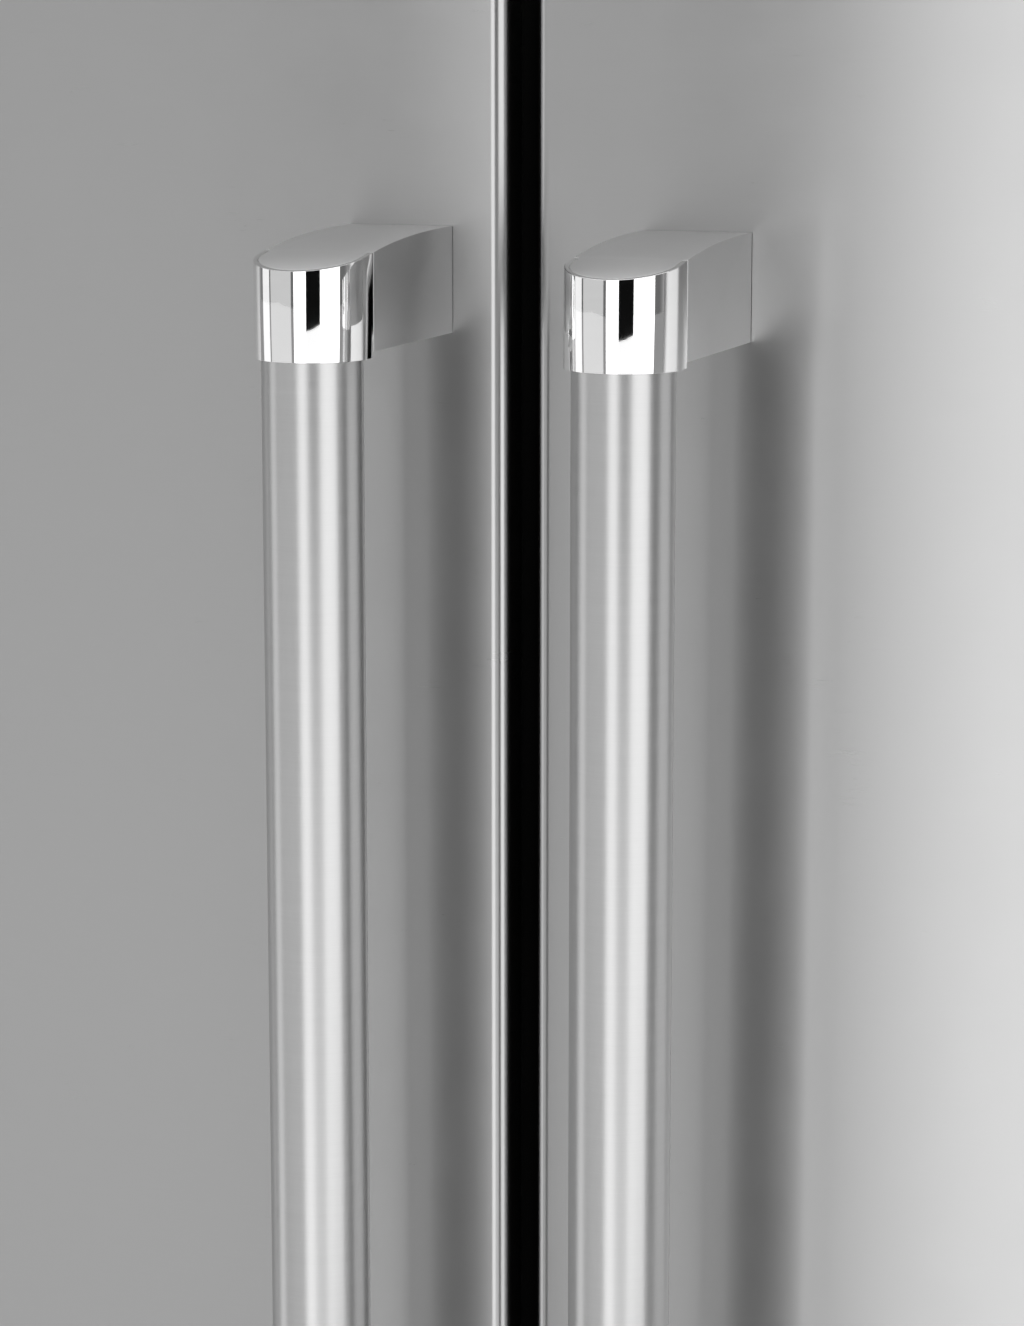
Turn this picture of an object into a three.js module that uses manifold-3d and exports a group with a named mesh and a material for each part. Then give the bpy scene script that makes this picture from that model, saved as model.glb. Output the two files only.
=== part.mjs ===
// A french door refrigerator: two hinged doors over a pull-out freezer drawer, each with a round bar handle.
// Millimetres, +Z up, the front towards -Y, +X to the right of someone facing it.
// The origin is on the floor, under the middle of the whole object.
import * as THREE from "three";
import { mergeVertices } from "three/addons/utils/BufferGeometryUtils.js";
import Module from "manifold-3d";

const wasm = await Module();
wasm.setup();

// ---------------------------------------------------------------- driving sizes

const WIDTH = 908; // over the cabinet and the doors
const CABINET_TOP = 1750; // floor to the top of the steel cabinet
const CABINET_DEPTH = 655; // front flange to the outside of the rear panel
const DOOR_THICKNESS = 56;
const GASKET_GAP = 13; // from the back of a door to the cabinet's front flange
const DOOR_GAP = 7.8; // between the two doors
const GAP_CENTRE_X = -7.4; // the right door is a little wider than the left one
const SPLIT_Z = 697; // middle of the gap between the doors and the drawer
const SPLIT_GAP = 12;
const DRAWER_BOTTOM = 98;
const DOOR_TOP_DROP = 2; // the doors end this far below the cabinet's top

const SHEET = 1; // painted and stainless steel skins
const LINER = 2; // moulded plastic liners
const FIT = 0.3; // gap between pieces that touch
const ROUND = 48; // sides on a full circle of a visible round piece
const SMALL_ROUND = 24;
const CLIMB_STEPS = 16;

// handles
const BAR_RADIUS = 12.7;
const BAR_WALL = 1.5;
const HANDLE_REACH = 61; // door face to the bar's axis
const HANDLE_SPACING = 81; // between the two upright bars
const BAND_PROUD = 1.7; // polished band round the nose of each end, past the bar
const BAND_WALL = 1.2;
const BAND_HEIGHT = 23;
const BAND_BACK = 5; // the band runs this far behind the bar's axis
const BAND_SKIRT = 1.5; // the band hangs this far over the bar
const ARM_RISE = 6.3; // the arm's outer face at the door, past the handle's end plane
const ARM_CLIMB = 7; // how much that face climbs from the nose's front to the door
const ARM_CURVE = 2.5; // how strongly it levels out on the way
const ARM_UNDER_RISE = 0.4;
const SPIGOT_LENGTH = 22;
const SET_SCREW_RADIUS = 0.8;
const SET_SCREW_TURN = { left: 0, right: 45, drawer: 45 }; // degrees from the side towards the front
const SET_SCREW_Z = -0.6 * BAND_HEIGHT;
const HANDLE_MARGIN = 120; // door's end to the handle's end
const DRAWER_HANDLE_LENGTH = 804;
const DRAWER_HANDLE_DROP = 82; // drawer's top edge to the bar's axis

// doors
const RETURN_DEPTH = 12; // the stainless skin's bent edge
const SKIN_BEND = 4.3; // its corner radius
const HINGE_INSET_X = 14; // pin to the door's outer edge
const HINGE_INSET_Y = 30; // pin to the door's face
const PIN_RADIUS = 5;
const PIN_LENGTH = 22;
const GASKET_WIDTH = 16;
const GASKET_OUTER_INSET = 16; // from the door's hinge side, so that it clears the flange as it turns
const GASKET_FREE_INSET = 6.5;
const GASKET_TOP_INSET = 12;
const DYKE_DEPTH = 30; // how far the door's raised rim reaches into the cabinet
const DYKE_WIDTH = 24;
const DYKE_CLEARANCE = 10; // from the opening's edge

// cabinet walls
const SIDE_WALL = 52;
const TOP_WALL = 60;
const BACK_WALL = 55;
const CROSSRAIL_UP = 38; // split line to the floor of the upper compartment
const CROSSRAIL_DOWN = 37; // split line to the ceiling of the freezer
const FREEZER_FLOOR = 150;
const FOAM_BOTTOM = 96;
const WRAPPER_BOTTOM = 25;
const CORNER_ROUND = 8;

// machine compartment and freezer step
const MACHINE_DEPTH = 235;
const MACHINE_TOP = 290;
const STEP_WALL = 55;
const MACHINE_SIDE = 408; // half its width

// mullion
const MULLION_WIDTH = 68;
const MULLION_THICKNESS = 16;

// shelves, bins, drawers
const BIN_DEPTH = 100; // past the cabinet's front plane
const STORE_SETBACK = 128; // front of the shelves and crispers behind the cabinet's front plane
const CRISPER_HEIGHT = 194;
const CRISPER_DEPTH = 400;
const BIN_HEIGHT = 96;
const WALL = 3;

// feet
const ROLLER_RADIUS = 25;
const ROLLER_WIDTH = 24;
const AXLE_RADIUS = 4;
const FOOT_RADIUS = 20;
const FOOT_HEIGHT = 9;
const THREAD_RADIUS = 6;
const THREAD_CLEARANCE = 0.5;

// ---------------------------------------------------------------- places worked out from them

const HALF = WIDTH / 2;
const BAND_RADIUS = BAR_RADIUS + BAND_PROUD;
const TOTAL_DEPTH = BAND_RADIUS + HANDLE_REACH + DOOR_THICKNESS + GASKET_GAP + CABINET_DEPTH;
const FACE_Y = -TOTAL_DEPTH / 2 + BAND_RADIUS + HANDLE_REACH; // the doors' outer face
const DOOR_BACK_Y = FACE_Y + DOOR_THICKNESS;
const FRONT_Y = DOOR_BACK_Y + GASKET_GAP; // the cabinet's front flange
const BACK_Y = FRONT_Y + CABINET_DEPTH;
const CAVITY_BACK_Y = BACK_Y - BACK_WALL;
const PIN_Y = FACE_Y + HINGE_INSET_Y;

const DOOR_TOP = CABINET_TOP - DOOR_TOP_DROP;
const DOOR_BOTTOM = SPLIT_Z + SPLIT_GAP / 2;
const DRAWER_TOP = SPLIT_Z - SPLIT_GAP / 2;
const INNER_HALF = HALF - SIDE_WALL;
const FOOD_FLOOR = SPLIT_Z + CROSSRAIL_UP;
const FOOD_CEILING = CABINET_TOP - TOP_WALL;
const FREEZER_CEILING = SPLIT_Z - CROSSRAIL_DOWN;
const MACHINE_FRONT_Y = BACK_Y - MACHINE_DEPTH;
const STEP_Z = MACHINE_TOP + STEP_WALL;
const STEP_Y = MACHINE_FRONT_Y - STEP_WALL;
const LEFT_DOOR = [-HALF, GAP_CENTRE_X - DOOR_GAP / 2];
const RIGHT_DOOR = [GAP_CENTRE_X + DOOR_GAP / 2, HALF];
const STORE_Y = FRONT_Y + STORE_SETBACK;

// ---------------------------------------------------------------- materials

const finish = (color, roughness, metalness = 0, more = {}) =>
  new THREE.MeshStandardMaterial({ color, roughness, metalness, ...more });
const STAINLESS = finish("#b4b4b3", 0.32, 1);
const SATIN_CAST = finish("#a9a9a8", 0.38, 1);
const CHROME = finish("#e6e6e6", 0.06, 1);
const PAINTED_GREY = finish("#77797b", 0.55, 0.2);
const GALVANISED = finish("#9fa3a5", 0.45, 0.8);
const WHITE_PLASTIC = finish("#eceeee", 0.45);
const BLACK_PLASTIC = finish("#141414", 0.5);
const DARK_RUBBER = finish("#2b2c2d", 0.8);
const FOAM = finish("#d9c48a", 0.95);
const CLEAR_PLASTIC = finish("#dfe8ea", 0.12, 0, { transparent: true, opacity: 0.45 });
const SHELF_GLASS = finish("#cfe3dc", 0.06, 0, { transparent: true, opacity: 0.5 });
const COMPRESSOR_BLACK = finish("#1d1e20", 0.4, 0.3);
const ALUMINIUM = finish("#c3c6c8", 0.35, 0.9);

// ---------------------------------------------------------------- solid helpers

const X_AXIS = new THREE.Vector3(1, 0, 0);
const Y_AXIS = new THREE.Vector3(0, 1, 0);
const Z_AXIS = new THREE.Vector3(0, 0, 1);
const MINUS_Y = new THREE.Vector3(0, -1, 0);

// A closed three.js geometry as a solid that booleans can work on.
function solidOf(geometry) {
  const bare = geometry.index ? geometry.toNonIndexed() : geometry.clone();
  bare.deleteAttribute("normal");
  bare.deleteAttribute("uv");
  const merged = mergeVertices(bare, 1e-4);
  return new wasm.Manifold(
    new wasm.Mesh({
      numProp: 3,
      vertProperties: new Float32Array(merged.attributes.position.array),
      triVerts: new Uint32Array(merged.index.array),
    }),
  );
}

// A solid back as a geometry with its own flat normals.
function geometryOf(solid) {
  const { vertProperties, triVerts } = solid.getMesh();
  const geometry = new THREE.BufferGeometry();
  geometry.setAttribute("position", new THREE.BufferAttribute(new Float32Array(vertProperties), 3));
  geometry.setIndex(new THREE.BufferAttribute(new Uint32Array(triVerts), 1));
  const flat = geometry.toNonIndexed();
  flat.computeVertexNormals();
  return flat;
}

function piece(name, solid, material) {
  const mesh = new THREE.Mesh(geometryOf(solid), material);
  mesh.name = name;
  return mesh;
}

// A box between two values on each axis, given in either order.
function block([xa, xb], [ya, yb], [za, zb]) {
  const geometry = new THREE.BoxGeometry(Math.abs(xb - xa), Math.abs(yb - ya), Math.abs(zb - za));
  geometry.translate((xa + xb) / 2, (ya + yb) / 2, (za + zb) / 2);
  return solidOf(geometry);
}

// A round bar along an axis, from one value to another, through the point given by the other two coordinates.
function rod(axis, radius, from, to, [u, v], sides = SMALL_ROUND) {
  const geometry = new THREE.CylinderGeometry(radius, radius, Math.abs(to - from), sides);
  const middle = (from + to) / 2;
  if (axis === "x") geometry.rotateZ(Math.PI / 2).translate(middle, u, v);
  if (axis === "y") geometry.translate(u, middle, v);
  if (axis === "z") geometry.rotateX(Math.PI / 2).translate(u, v, middle);
  return solidOf(geometry);
}

const pathOf = (points) => new THREE.Shape(points.map(([a, b]) => new THREE.Vector2(a, b)));

// Extrusions of a flat outline: along Z (outline in X, Y), along Y (in X, Z) and along X (in Y, Z).
function extrude(shape, length, right, up, out, offset, curveSegments) {
  const geometry = new THREE.ExtrudeGeometry(shape, { depth: length, bevelEnabled: false, curveSegments });
  geometry.applyMatrix4(new THREE.Matrix4().makeBasis(right, up, out));
  geometry.translate(...offset);
  return solidOf(geometry);
}
const extrudeZ = (shape, z0, z1, segments = 8) =>
  extrude(shape, z1 - z0, X_AXIS, Y_AXIS, Z_AXIS, [0, 0, z0], segments);
const extrudeY = (shape, y0, y1, segments = 8) =>
  extrude(shape, y1 - y0, X_AXIS, Z_AXIS, MINUS_Y, [0, y1, 0], segments);
const extrudeX = (shape, x0, x1, segments = 8) =>
  extrude(shape, x1 - x0, Y_AXIS, Z_AXIS, X_AXIS, [x0, 0, 0], segments);

// A rectangle with round corners, centred at (cx, cy).
function roundedRect(cx, cy, width, height, radius) {
  const [l, r, b, t] = [cx - width / 2, cx + width / 2, cy - height / 2, cy + height / 2];
  const shape = new THREE.Shape();
  shape.moveTo(l + radius, b);
  shape.lineTo(r - radius, b);
  shape.absarc(r - radius, b + radius, radius, -Math.PI / 2, 0);
  shape.lineTo(r, t - radius);
  shape.absarc(r - radius, t - radius, radius, 0, Math.PI / 2);
  shape.lineTo(l + radius, t);
  shape.absarc(l + radius, t - radius, radius, Math.PI / 2, Math.PI);
  shape.lineTo(l, b + radius);
  shape.absarc(l + radius, b + radius, radius, Math.PI, 1.5 * Math.PI);
  return shape;
}

// The cabinet's end outline: square at the bottom, round at its two top corners.
function archShape(halfWidth, bottom, top, radius) {
  const shape = new THREE.Shape();
  shape.moveTo(-halfWidth, bottom);
  shape.lineTo(halfWidth, bottom);
  shape.lineTo(halfWidth, top - radius);
  shape.absarc(halfWidth - radius, top - radius, radius, 0, Math.PI / 2);
  shape.lineTo(-halfWidth + radius, top);
  shape.absarc(-halfWidth + radius, top - radius, radius, Math.PI / 2, Math.PI);
  return shape;
}

const union = (solids) => solids.reduce((all, one) => all.add(one));

// An open-topped tray: a box less its inside.
function tray([xa, xb], [ya, yb], [za, zb], wall) {
  const [x0, x1] = [Math.min(xa, xb), Math.max(xa, xb)];
  return block([x0, x1], [ya, yb], [za, zb]).subtract(
    block([x0 + wall, x1 - wall], [ya + wall, yb - wall], [za + wall, zb + 1]),
  );
}

// ---------------------------------------------------------------- cabinet

// ledges moulded in the freezer's side walls carry the drawer's rails and the tray
const RAIL_Z = [296, 330];
const RAIL_X = [INNER_HALF - 32, INNER_HALF - 18]; // from the middle, on each side
const RAIL_BACK_Y = STEP_Y - 10;
const TRAY_FLOOR = 470;
const TRAY_HEIGHT = 120;
const TRAY_SETBACK = DYKE_DEPTH + 6;
const TRAY_DEPTH = 404;
const LEDGE_HEIGHT = 16;
const LEDGE_FRONT_Y = FRONT_Y + DYKE_DEPTH + 4;

// One ledge's solid, shrunk by some wall where it stands out of the freezer's side.
function ledge(side, shrink, innerX, backY, topZ) {
  return block(
    [side * (innerX + shrink), side * (INNER_HALF + 10)],
    [LEDGE_FRONT_Y + shrink, backY - shrink],
    [topZ - LEDGE_HEIGHT + shrink, topZ - shrink],
  );
}

// The two compartments as boxes grown by some wall; the freezer steps over the machine compartment.
function cavities(grow, frontY) {
  const across = [-INNER_HALF - grow, INNER_HALF + grow];
  const food = block(across, [frontY, CAVITY_BACK_Y + grow], [FOOD_FLOOR - grow, FOOD_CEILING + grow]);
  const freezerUpper = block(across, [frontY, CAVITY_BACK_Y + grow], [STEP_Z - grow, FREEZER_CEILING + grow]);
  const freezerLower = block(across, [frontY, STEP_Y + grow], [FREEZER_FLOOR - grow, STEP_Z + grow]);
  const trayBackY = FRONT_Y + TRAY_SETBACK + TRAY_DEPTH;
  const ledges = [-1, 1].flatMap((side) => [
    ledge(side, grow, RAIL_X[0] - 2, RAIL_BACK_Y, RAIL_Z[0] - FIT),
    ledge(side, grow, INNER_HALF - LEDGE_HEIGHT - 2, trayBackY, TRAY_FLOOR - FIT),
  ]);
  return union([food, freezerUpper, freezerLower]).subtract(union(ledges));
}

function cabinetWrapper() {
  const backY = BACK_Y - SHEET - FIT;
  const outside = extrudeY(archShape(HALF, WRAPPER_BOTTOM, CABINET_TOP, CORNER_ROUND), FRONT_Y, backY);
  const inside = extrudeY(
    archShape(HALF - SHEET, WRAPPER_BOTTOM - 1, CABINET_TOP - SHEET, CORNER_ROUND - SHEET),
    FRONT_Y + SHEET,
    backY + 1,
  );
  const underFlange = block([-HALF + SHEET, HALF - SHEET], [FRONT_Y - 1, FRONT_Y + 2], [0, FOAM_BOTTOM]);
  const openings = cavities(0, FRONT_Y - 1).intersect(
    block([-HALF, HALF], [FRONT_Y - 1, FRONT_Y + 2 * SHEET], [0, CABINET_TOP]),
  );
  return outside.subtract(inside).subtract(underFlange).subtract(openings);
}

const LINER_FRONT_Y = FRONT_Y + SHEET + FIT;
const FOAM_FRONT_Y = LINER_FRONT_Y + LINER + FIT;

function cabinetFoam() {
  const inset = SHEET + FIT;
  const outside = extrudeY(
    archShape(HALF - inset, FOAM_BOTTOM, CABINET_TOP - inset, CORNER_ROUND - inset),
    FOAM_FRONT_Y,
    BACK_Y - inset,
  );
  const machine = block([-MACHINE_SIDE, MACHINE_SIDE], [MACHINE_FRONT_Y, BACK_Y], [0, MACHINE_TOP]);
  return outside.subtract(cavities(LINER + FIT, FOAM_FRONT_Y - 1)).subtract(machine);
}

// One moulding lines both compartments, with a flange behind the cabinet's front.
function innerLiner() {
  const flange = extrudeY(
    archShape(HALF - 4, FOAM_BOTTOM + 4, CABINET_TOP - 6, CORNER_ROUND - 4),
    LINER_FRONT_Y,
    LINER_FRONT_Y + LINER,
  );
  return flange.add(cavities(LINER, LINER_FRONT_Y)).subtract(cavities(0, LINER_FRONT_Y - 1));
}

const REAR_PANEL_BOTTOM = MACHINE_TOP + 2;

function rearPanel() {
  return extrudeY(
    archShape(HALF - SHEET, REAR_PANEL_BOTTOM, CABINET_TOP - SHEET, CORNER_ROUND - SHEET),
    BACK_Y - SHEET,
    BACK_Y,
  );
}

function machineCover() {
  const half = HALF - 2 * SHEET;
  const [bottom, top] = [WRAPPER_BOTTOM + 7, REAR_PANEL_BOTTOM - 2];
  const [columns, rows, slotHeight] = [4, 8, 7];
  const slotWidth = 150;
  const rowPitch = (top - bottom - 60) / rows;
  let cover = block([-half, half], [BACK_Y - SHEET, BACK_Y], [bottom, top]);
  for (let column = 0; column < columns; column += 1) {
    const middle = (column - (columns - 1) / 2) * (slotWidth + 40);
    for (let row = 0; row < rows; row += 1) {
      const z = bottom + 40 + row * rowPitch;
      cover = cover.subtract(
        block([middle - slotWidth / 2, middle + slotWidth / 2], [BACK_Y - 5, BACK_Y + 5], [z, z + slotHeight]),
      );
    }
  }
  return cover;
}

// ---------------------------------------------------------------- base, rollers and levelling legs

const RAIL_INNER = MACHINE_SIDE - 4; // base rails, from the middle
const RAIL_OUTER = HALF - SHEET - 3;
const RAIL_MIDDLE = (RAIL_INNER + RAIL_OUTER) / 2;
const BASE_BOTTOM = 28;
const BASE_TOP = FOAM_BOTTOM - FIT;
const BASE_SHEET = 2.5;
const LEG_Y = FRONT_Y + 40;
const ROLLER_Y = BACK_Y - 60;
const MACHINE_FLOOR = 34;

function baseFrame() {
  const [frontY, backY] = [FRONT_Y + 6, BACK_Y - 4];
  const solids = [
    block([-RAIL_INNER - 1, RAIL_INNER + 1], [frontY, frontY + BASE_SHEET], [BASE_BOTTOM, BASE_TOP]),
    block(
      [-RAIL_INNER - 1, RAIL_INNER + 1],
      [MACHINE_FRONT_Y + 5, backY],
      [MACHINE_FLOOR, MACHINE_FLOOR + BASE_SHEET],
    ),
  ];
  for (const side of [-1, 1]) {
    const rail = block([side * RAIL_INNER, side * RAIL_OUTER], [frontY, backY], [BASE_BOTTOM, BASE_TOP]);
    const hollow = block(
      [side * (RAIL_INNER + BASE_SHEET), side * (RAIL_OUTER - BASE_SHEET)],
      [frontY + BASE_SHEET, backY - BASE_SHEET],
      [0, BASE_TOP - BASE_SHEET],
    );
    solids.push(rail.subtract(hollow));
    for (const x of [RAIL_INNER, RAIL_OUTER - BASE_SHEET]) {
      const lug = [side * x, side * (x + BASE_SHEET)];
      solids.push(block(lug, [ROLLER_Y - 16, ROLLER_Y + 16], [ROLLER_RADIUS - 10, BASE_TOP - 1]));
    }
    solids.push(
      rod("x", AXLE_RADIUS, side * (RAIL_INNER + 1), side * (RAIL_OUTER - 1), [ROLLER_Y, ROLLER_RADIUS]),
      block(
        [side * (RAIL_INNER + 1), side * (RAIL_OUTER - 1)],
        [LEG_Y - 14, LEG_Y + 14],
        [BASE_BOTTOM + 4, BASE_BOTTOM + 22],
      ).subtract(
        rod("z", THREAD_RADIUS + THREAD_CLEARANCE, 0, BASE_TOP, [side * RAIL_MIDDLE, LEG_Y]),
      ),
    );
  }
  return union(solids);
}

function roller(name, side) {
  const wheel = rod("x", ROLLER_RADIUS, -ROLLER_WIDTH / 2, ROLLER_WIDTH / 2, [0, 0], ROUND).subtract(
    rod("x", AXLE_RADIUS + FIT, -ROLLER_WIDTH, ROLLER_WIDTH, [0, 0]),
  );
  const mesh = piece(name, wheel, BLACK_PLASTIC);
  mesh.position.set(side * RAIL_MIDDLE, ROLLER_Y, ROLLER_RADIUS);
  return mesh;
}

function levellingLeg(name, side) {
  const threadTop = BASE_TOP - BASE_SHEET - 4;
  const nutHeight = 6;
  const leg = union([
    rod("z", FOOT_RADIUS, 0, FOOT_HEIGHT, [0, 0], ROUND),
    rod("z", FOOT_RADIUS * 0.6, FOOT_HEIGHT - 1, FOOT_HEIGHT + nutHeight, [0, 0], 6),
    rod("z", THREAD_RADIUS, FOOT_HEIGHT, threadTop, [0, 0]),
  ]);
  const mesh = piece(name, leg, GALVANISED);
  mesh.position.set(side * RAIL_MIDDLE, LEG_Y, 0);
  return mesh;
}

function toeGrille() {
  const half = HALF - 6;
  const [y0, y1] = [FRONT_Y - 14, FRONT_Y - 2];
  const [bottom, top] = [26, DRAWER_BOTTOM - 6];
  const [columns, rows] = [6, 3];
  const slotWidth = (2 * half - 60) / columns - 12;
  let grille = block([-half, half], [y0, y1], [bottom, top]);
  for (let column = 0; column < columns; column += 1) {
    const middle = (column - (columns - 1) / 2) * (slotWidth + 12);
    for (let row = 0; row < rows; row += 1) {
      const z = bottom + 14 + row * 15;
      grille = grille.subtract(
        block([middle - slotWidth / 2, middle + slotWidth / 2], [y0 - 1, y1 + 1], [z, z + 7]),
      );
    }
  }
  return grille;
}

// ---------------------------------------------------------------- machine compartment and evaporator

const FLOOR_TOP = MACHINE_FLOOR + BASE_SHEET + FIT;

function compressor() {
  const [radius, height, padHeight] = [78, 168, 12];
  const profile = [
    [0, 0],
    [radius * 0.75, 0],
    [radius * 0.96, 14],
    [radius, 40],
    [radius, 62],
    [radius * 1.04, 66],
    [radius * 1.04, 70],
    [radius, 74],
    [radius, 118],
    [radius * 0.86, 150],
    [radius * 0.5, height - 2],
    [0, height],
  ];
  const shell = new THREE.LatheGeometry(profile.map(([r, y]) => new THREE.Vector2(r, y)), 28);
  shell.rotateX(Math.PI / 2).translate(0, 0, padHeight);
  const pads = [-1, 1].flatMap((a) => [-1, 1].map((b) => rod("z", 14, 0, padHeight, [a * 80, b * 56])));
  const plate = extrudeZ(roundedRect(0, 0, 200, 140, 14), padHeight - 2, padHeight + 2);
  const terminalBox = block([radius - 20, radius + 34], [-28, 28], [58, 118]);
  const mesh = piece("compressor", union([solidOf(shell), plate, terminalBox, ...pads]), COMPRESSOR_BLACK);
  mesh.position.set(-MACHINE_SIDE * 0.62, (MACHINE_FRONT_Y + BACK_Y) / 2, FLOOR_TOP);
  return mesh;
}

// Parallel fins on square tubes, along X, centred on X and Y.
function finPack(length, depth, height, fins, finWall) {
  const pitch = (length - finWall) / (fins - 1);
  const solids = [];
  for (let i = 0; i < fins; i += 1) {
    const x = -length / 2 + i * pitch;
    solids.push(block([x, x + finWall], [-depth / 2, depth / 2], [0, height]));
  }
  const tube = 8;
  for (const y of [-depth / 4, depth / 4]) {
    for (const z of [height * 0.25, height * 0.7]) {
      solids.push(
        block([-length / 2, length / 2], [y - tube / 2, y + tube / 2], [z - tube / 2, z + tube / 2]),
      );
    }
  }
  return union(solids);
}

const FAN_RADIUS = 62;
const FAN_HUB = 16;
const CONDENSER_X = 40; // its shroud's face
const CONDENSER_FAN_Z = 120;

// The condenser, with the shroud and the motor strut that hold its fan.
function condenser() {
  const [length, depth, height] = [230, 130, 170];
  const coil = finPack(length, depth, height, 12, 1.5).translate(length / 2, 0, 0);
  const centreZ = CONDENSER_FAN_Z - FLOOR_TOP;
  const shroud = block([-18, 2], [-depth / 2 - 6, depth / 2 + 6], [0, height + 6]).subtract(
    rod("x", FAN_RADIUS + 4, -30, 30, [0, centreZ], ROUND).intersect(
      block([-19, -2], [-100, 100], [0, 300]),
    ),
  );
  const grille = rod("x", FAN_RADIUS, -10, 10, [0, centreZ], ROUND).subtract(
    block([-11, 11], [-7, 7], [0, 300]).add(block([-11, 11], [-100, 100], [centreZ - 7, centreZ + 7])),
  );
  const motor = rod("x", 20, -2, 12, [0, centreZ]);
  const mesh = piece("condenser", union([coil, shroud.subtract(grille), motor]), ALUMINIUM);
  mesh.position.set(CONDENSER_X, (MACHINE_FRONT_Y + BACK_Y) / 2, FLOOR_TOP);
  return mesh;
}

// A fan turning about its own Z axis.
function fanBlades(radius, hub, blades, depth) {
  const solids = [rod("z", hub, -depth / 2, depth / 2, [0, 0])];
  const pitch = THREE.MathUtils.degToRad(28);
  for (let i = 0; i < blades; i += 1) {
    const blade = new THREE.BoxGeometry(radius - hub * 0.6, radius * 0.5, 2);
    blade.rotateX(pitch).translate((radius + hub * 0.6) / 2, 0, 0);
    blade.rotateZ((i * 2 * Math.PI) / blades);
    solids.push(solidOf(blade));
  }
  return union(solids).intersect(rod("z", radius, -depth, depth, [0, 0], ROUND));
}

function condenserFan() {
  const mesh = piece("condenser_fan", fanBlades(FAN_RADIUS, FAN_HUB, 5, 12), BLACK_PLASTIC);
  mesh.rotation.y = Math.PI / 2;
  mesh.position.set(CONDENSER_X - 28, (MACHINE_FRONT_Y + BACK_Y) / 2, CONDENSER_FAN_Z);
  return mesh;
}

const EVAPORATOR_PANEL_Y = CAVITY_BACK_Y - 100;
const EVAPORATOR_FAN_RADIUS = 50;
const EVAPORATOR_FAN_Z = STEP_Z + 235;
const EVAPORATOR_FAN_Y = EVAPORATOR_PANEL_Y + 20;

// The freezer's back panel with the finned evaporator hung behind it, and the hole and strut for its fan.
function evaporatorModule() {
  const panelTop = FREEZER_CEILING - 4;
  const half = INNER_HALF - 4;
  let panel = block([-half, half], [EVAPORATOR_PANEL_Y, EVAPORATOR_PANEL_Y + WALL], [STEP_Z + 3, panelTop]);
  panel = panel.subtract(
    rod("y", EVAPORATOR_FAN_RADIUS + 4, EVAPORATOR_PANEL_Y - 5, EVAPORATOR_PANEL_Y + 10, [0, EVAPORATOR_FAN_Z], ROUND),
  );
  for (const side of [-1, 1]) {
    for (let row = 0; row < 4; row += 1) {
      const z = STEP_Z + 200 + row * 18;
      panel = panel.subtract(
        block([side * 110, side * 330], [EVAPORATOR_PANEL_Y - 1, EVAPORATOR_PANEL_Y + 10], [z, z + 7]),
      );
    }
  }
  const coilDepth = 60;
  const coil = finPack(560, coilDepth, 150, 14, 1.5).translate(
    0,
    EVAPORATOR_PANEL_Y + WALL + coilDepth / 2 + 20,
    STEP_Z + 14,
  );
  const standoffY = [EVAPORATOR_PANEL_Y + 1, EVAPORATOR_PANEL_Y + WALL + 24];
  const standoffs = [-1, 1].map((side) =>
    block([side * 276, side * 280], standoffY, [STEP_Z + 14, STEP_Z + 160]),
  );
  const motorY = EVAPORATOR_FAN_Y + 14;
  const strut = union([
    block([-70, 70], [motorY, motorY + 4], [EVAPORATOR_FAN_Z - 6, EVAPORATOR_FAN_Z + 6]),
    block([-70, -64], [EVAPORATOR_PANEL_Y + 1, motorY + 4], [EVAPORATOR_FAN_Z - 6, EVAPORATOR_FAN_Z + 6]),
    block([64, 70], [EVAPORATOR_PANEL_Y + 1, motorY + 4], [EVAPORATOR_FAN_Z - 6, EVAPORATOR_FAN_Z + 6]),
    rod("y", 18, motorY, motorY + 26, [0, EVAPORATOR_FAN_Z]),
  ]);
  return union([panel, coil, strut, ...standoffs]);
}

function evaporatorFan() {
  const mesh = piece("evaporator_fan", fanBlades(EVAPORATOR_FAN_RADIUS, 13, 5, 10), BLACK_PLASTIC);
  mesh.rotation.x = Math.PI / 2;
  mesh.position.set(0, EVAPORATOR_FAN_Y, EVAPORATOR_FAN_Z);
  return mesh;
}

// ---------------------------------------------------------------- inside the upper compartment

const SHELF_DEPTH = CAVITY_BACK_Y - 4 - STORE_Y;
const SHELF_WALL = 10;
const SHELF_SIDE_GAP = 6;
const FOOD_HEIGHT = FOOD_CEILING - FOOD_FLOOR;
const shelfHeights = (shares) => shares.map((share) => FOOD_FLOOR + share * FOOD_HEIGHT);
const SHELF_HEIGHTS = { left: shelfHeights([0.482, 0.728]), right: shelfHeights([0.56, 0.79]) };

// Two half-width glass shelves cantilevered from an upright track on the rear wall.
function shelfStack(side, heights) {
  const [inner, outer] = [SHELF_SIDE_GAP, INNER_HALF - SHELF_SIDE_GAP];
  const rearY = CAVITY_BACK_Y - FIT;
  const solids = [];
  for (const x of [inner + 40, outer - 56]) {
    solids.push(
      block([side * x, side * (x + 16)], [rearY - 9, rearY], [heights[0] - 120, heights[1] + 60]),
    );
  }
  for (const z of heights) {
    solids.push(
      block([side * inner, side * outer], [STORE_Y, STORE_Y + SHELF_DEPTH - 8], [z, z + SHELF_WALL]),
    );
    for (const x of [inner + 42, outer - 54]) {
      const arm = pathOf([
        [STORE_Y + 60, z + 1],
        [rearY - 5, z - 46],
        [rearY - 5, z + 1],
      ]);
      const [x0, x1] = side > 0 ? [x, x + 12] : [-x - 12, -x];
      solids.push(extrudeX(arm, x0, x1));
    }
  }
  return union(solids);
}

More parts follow.
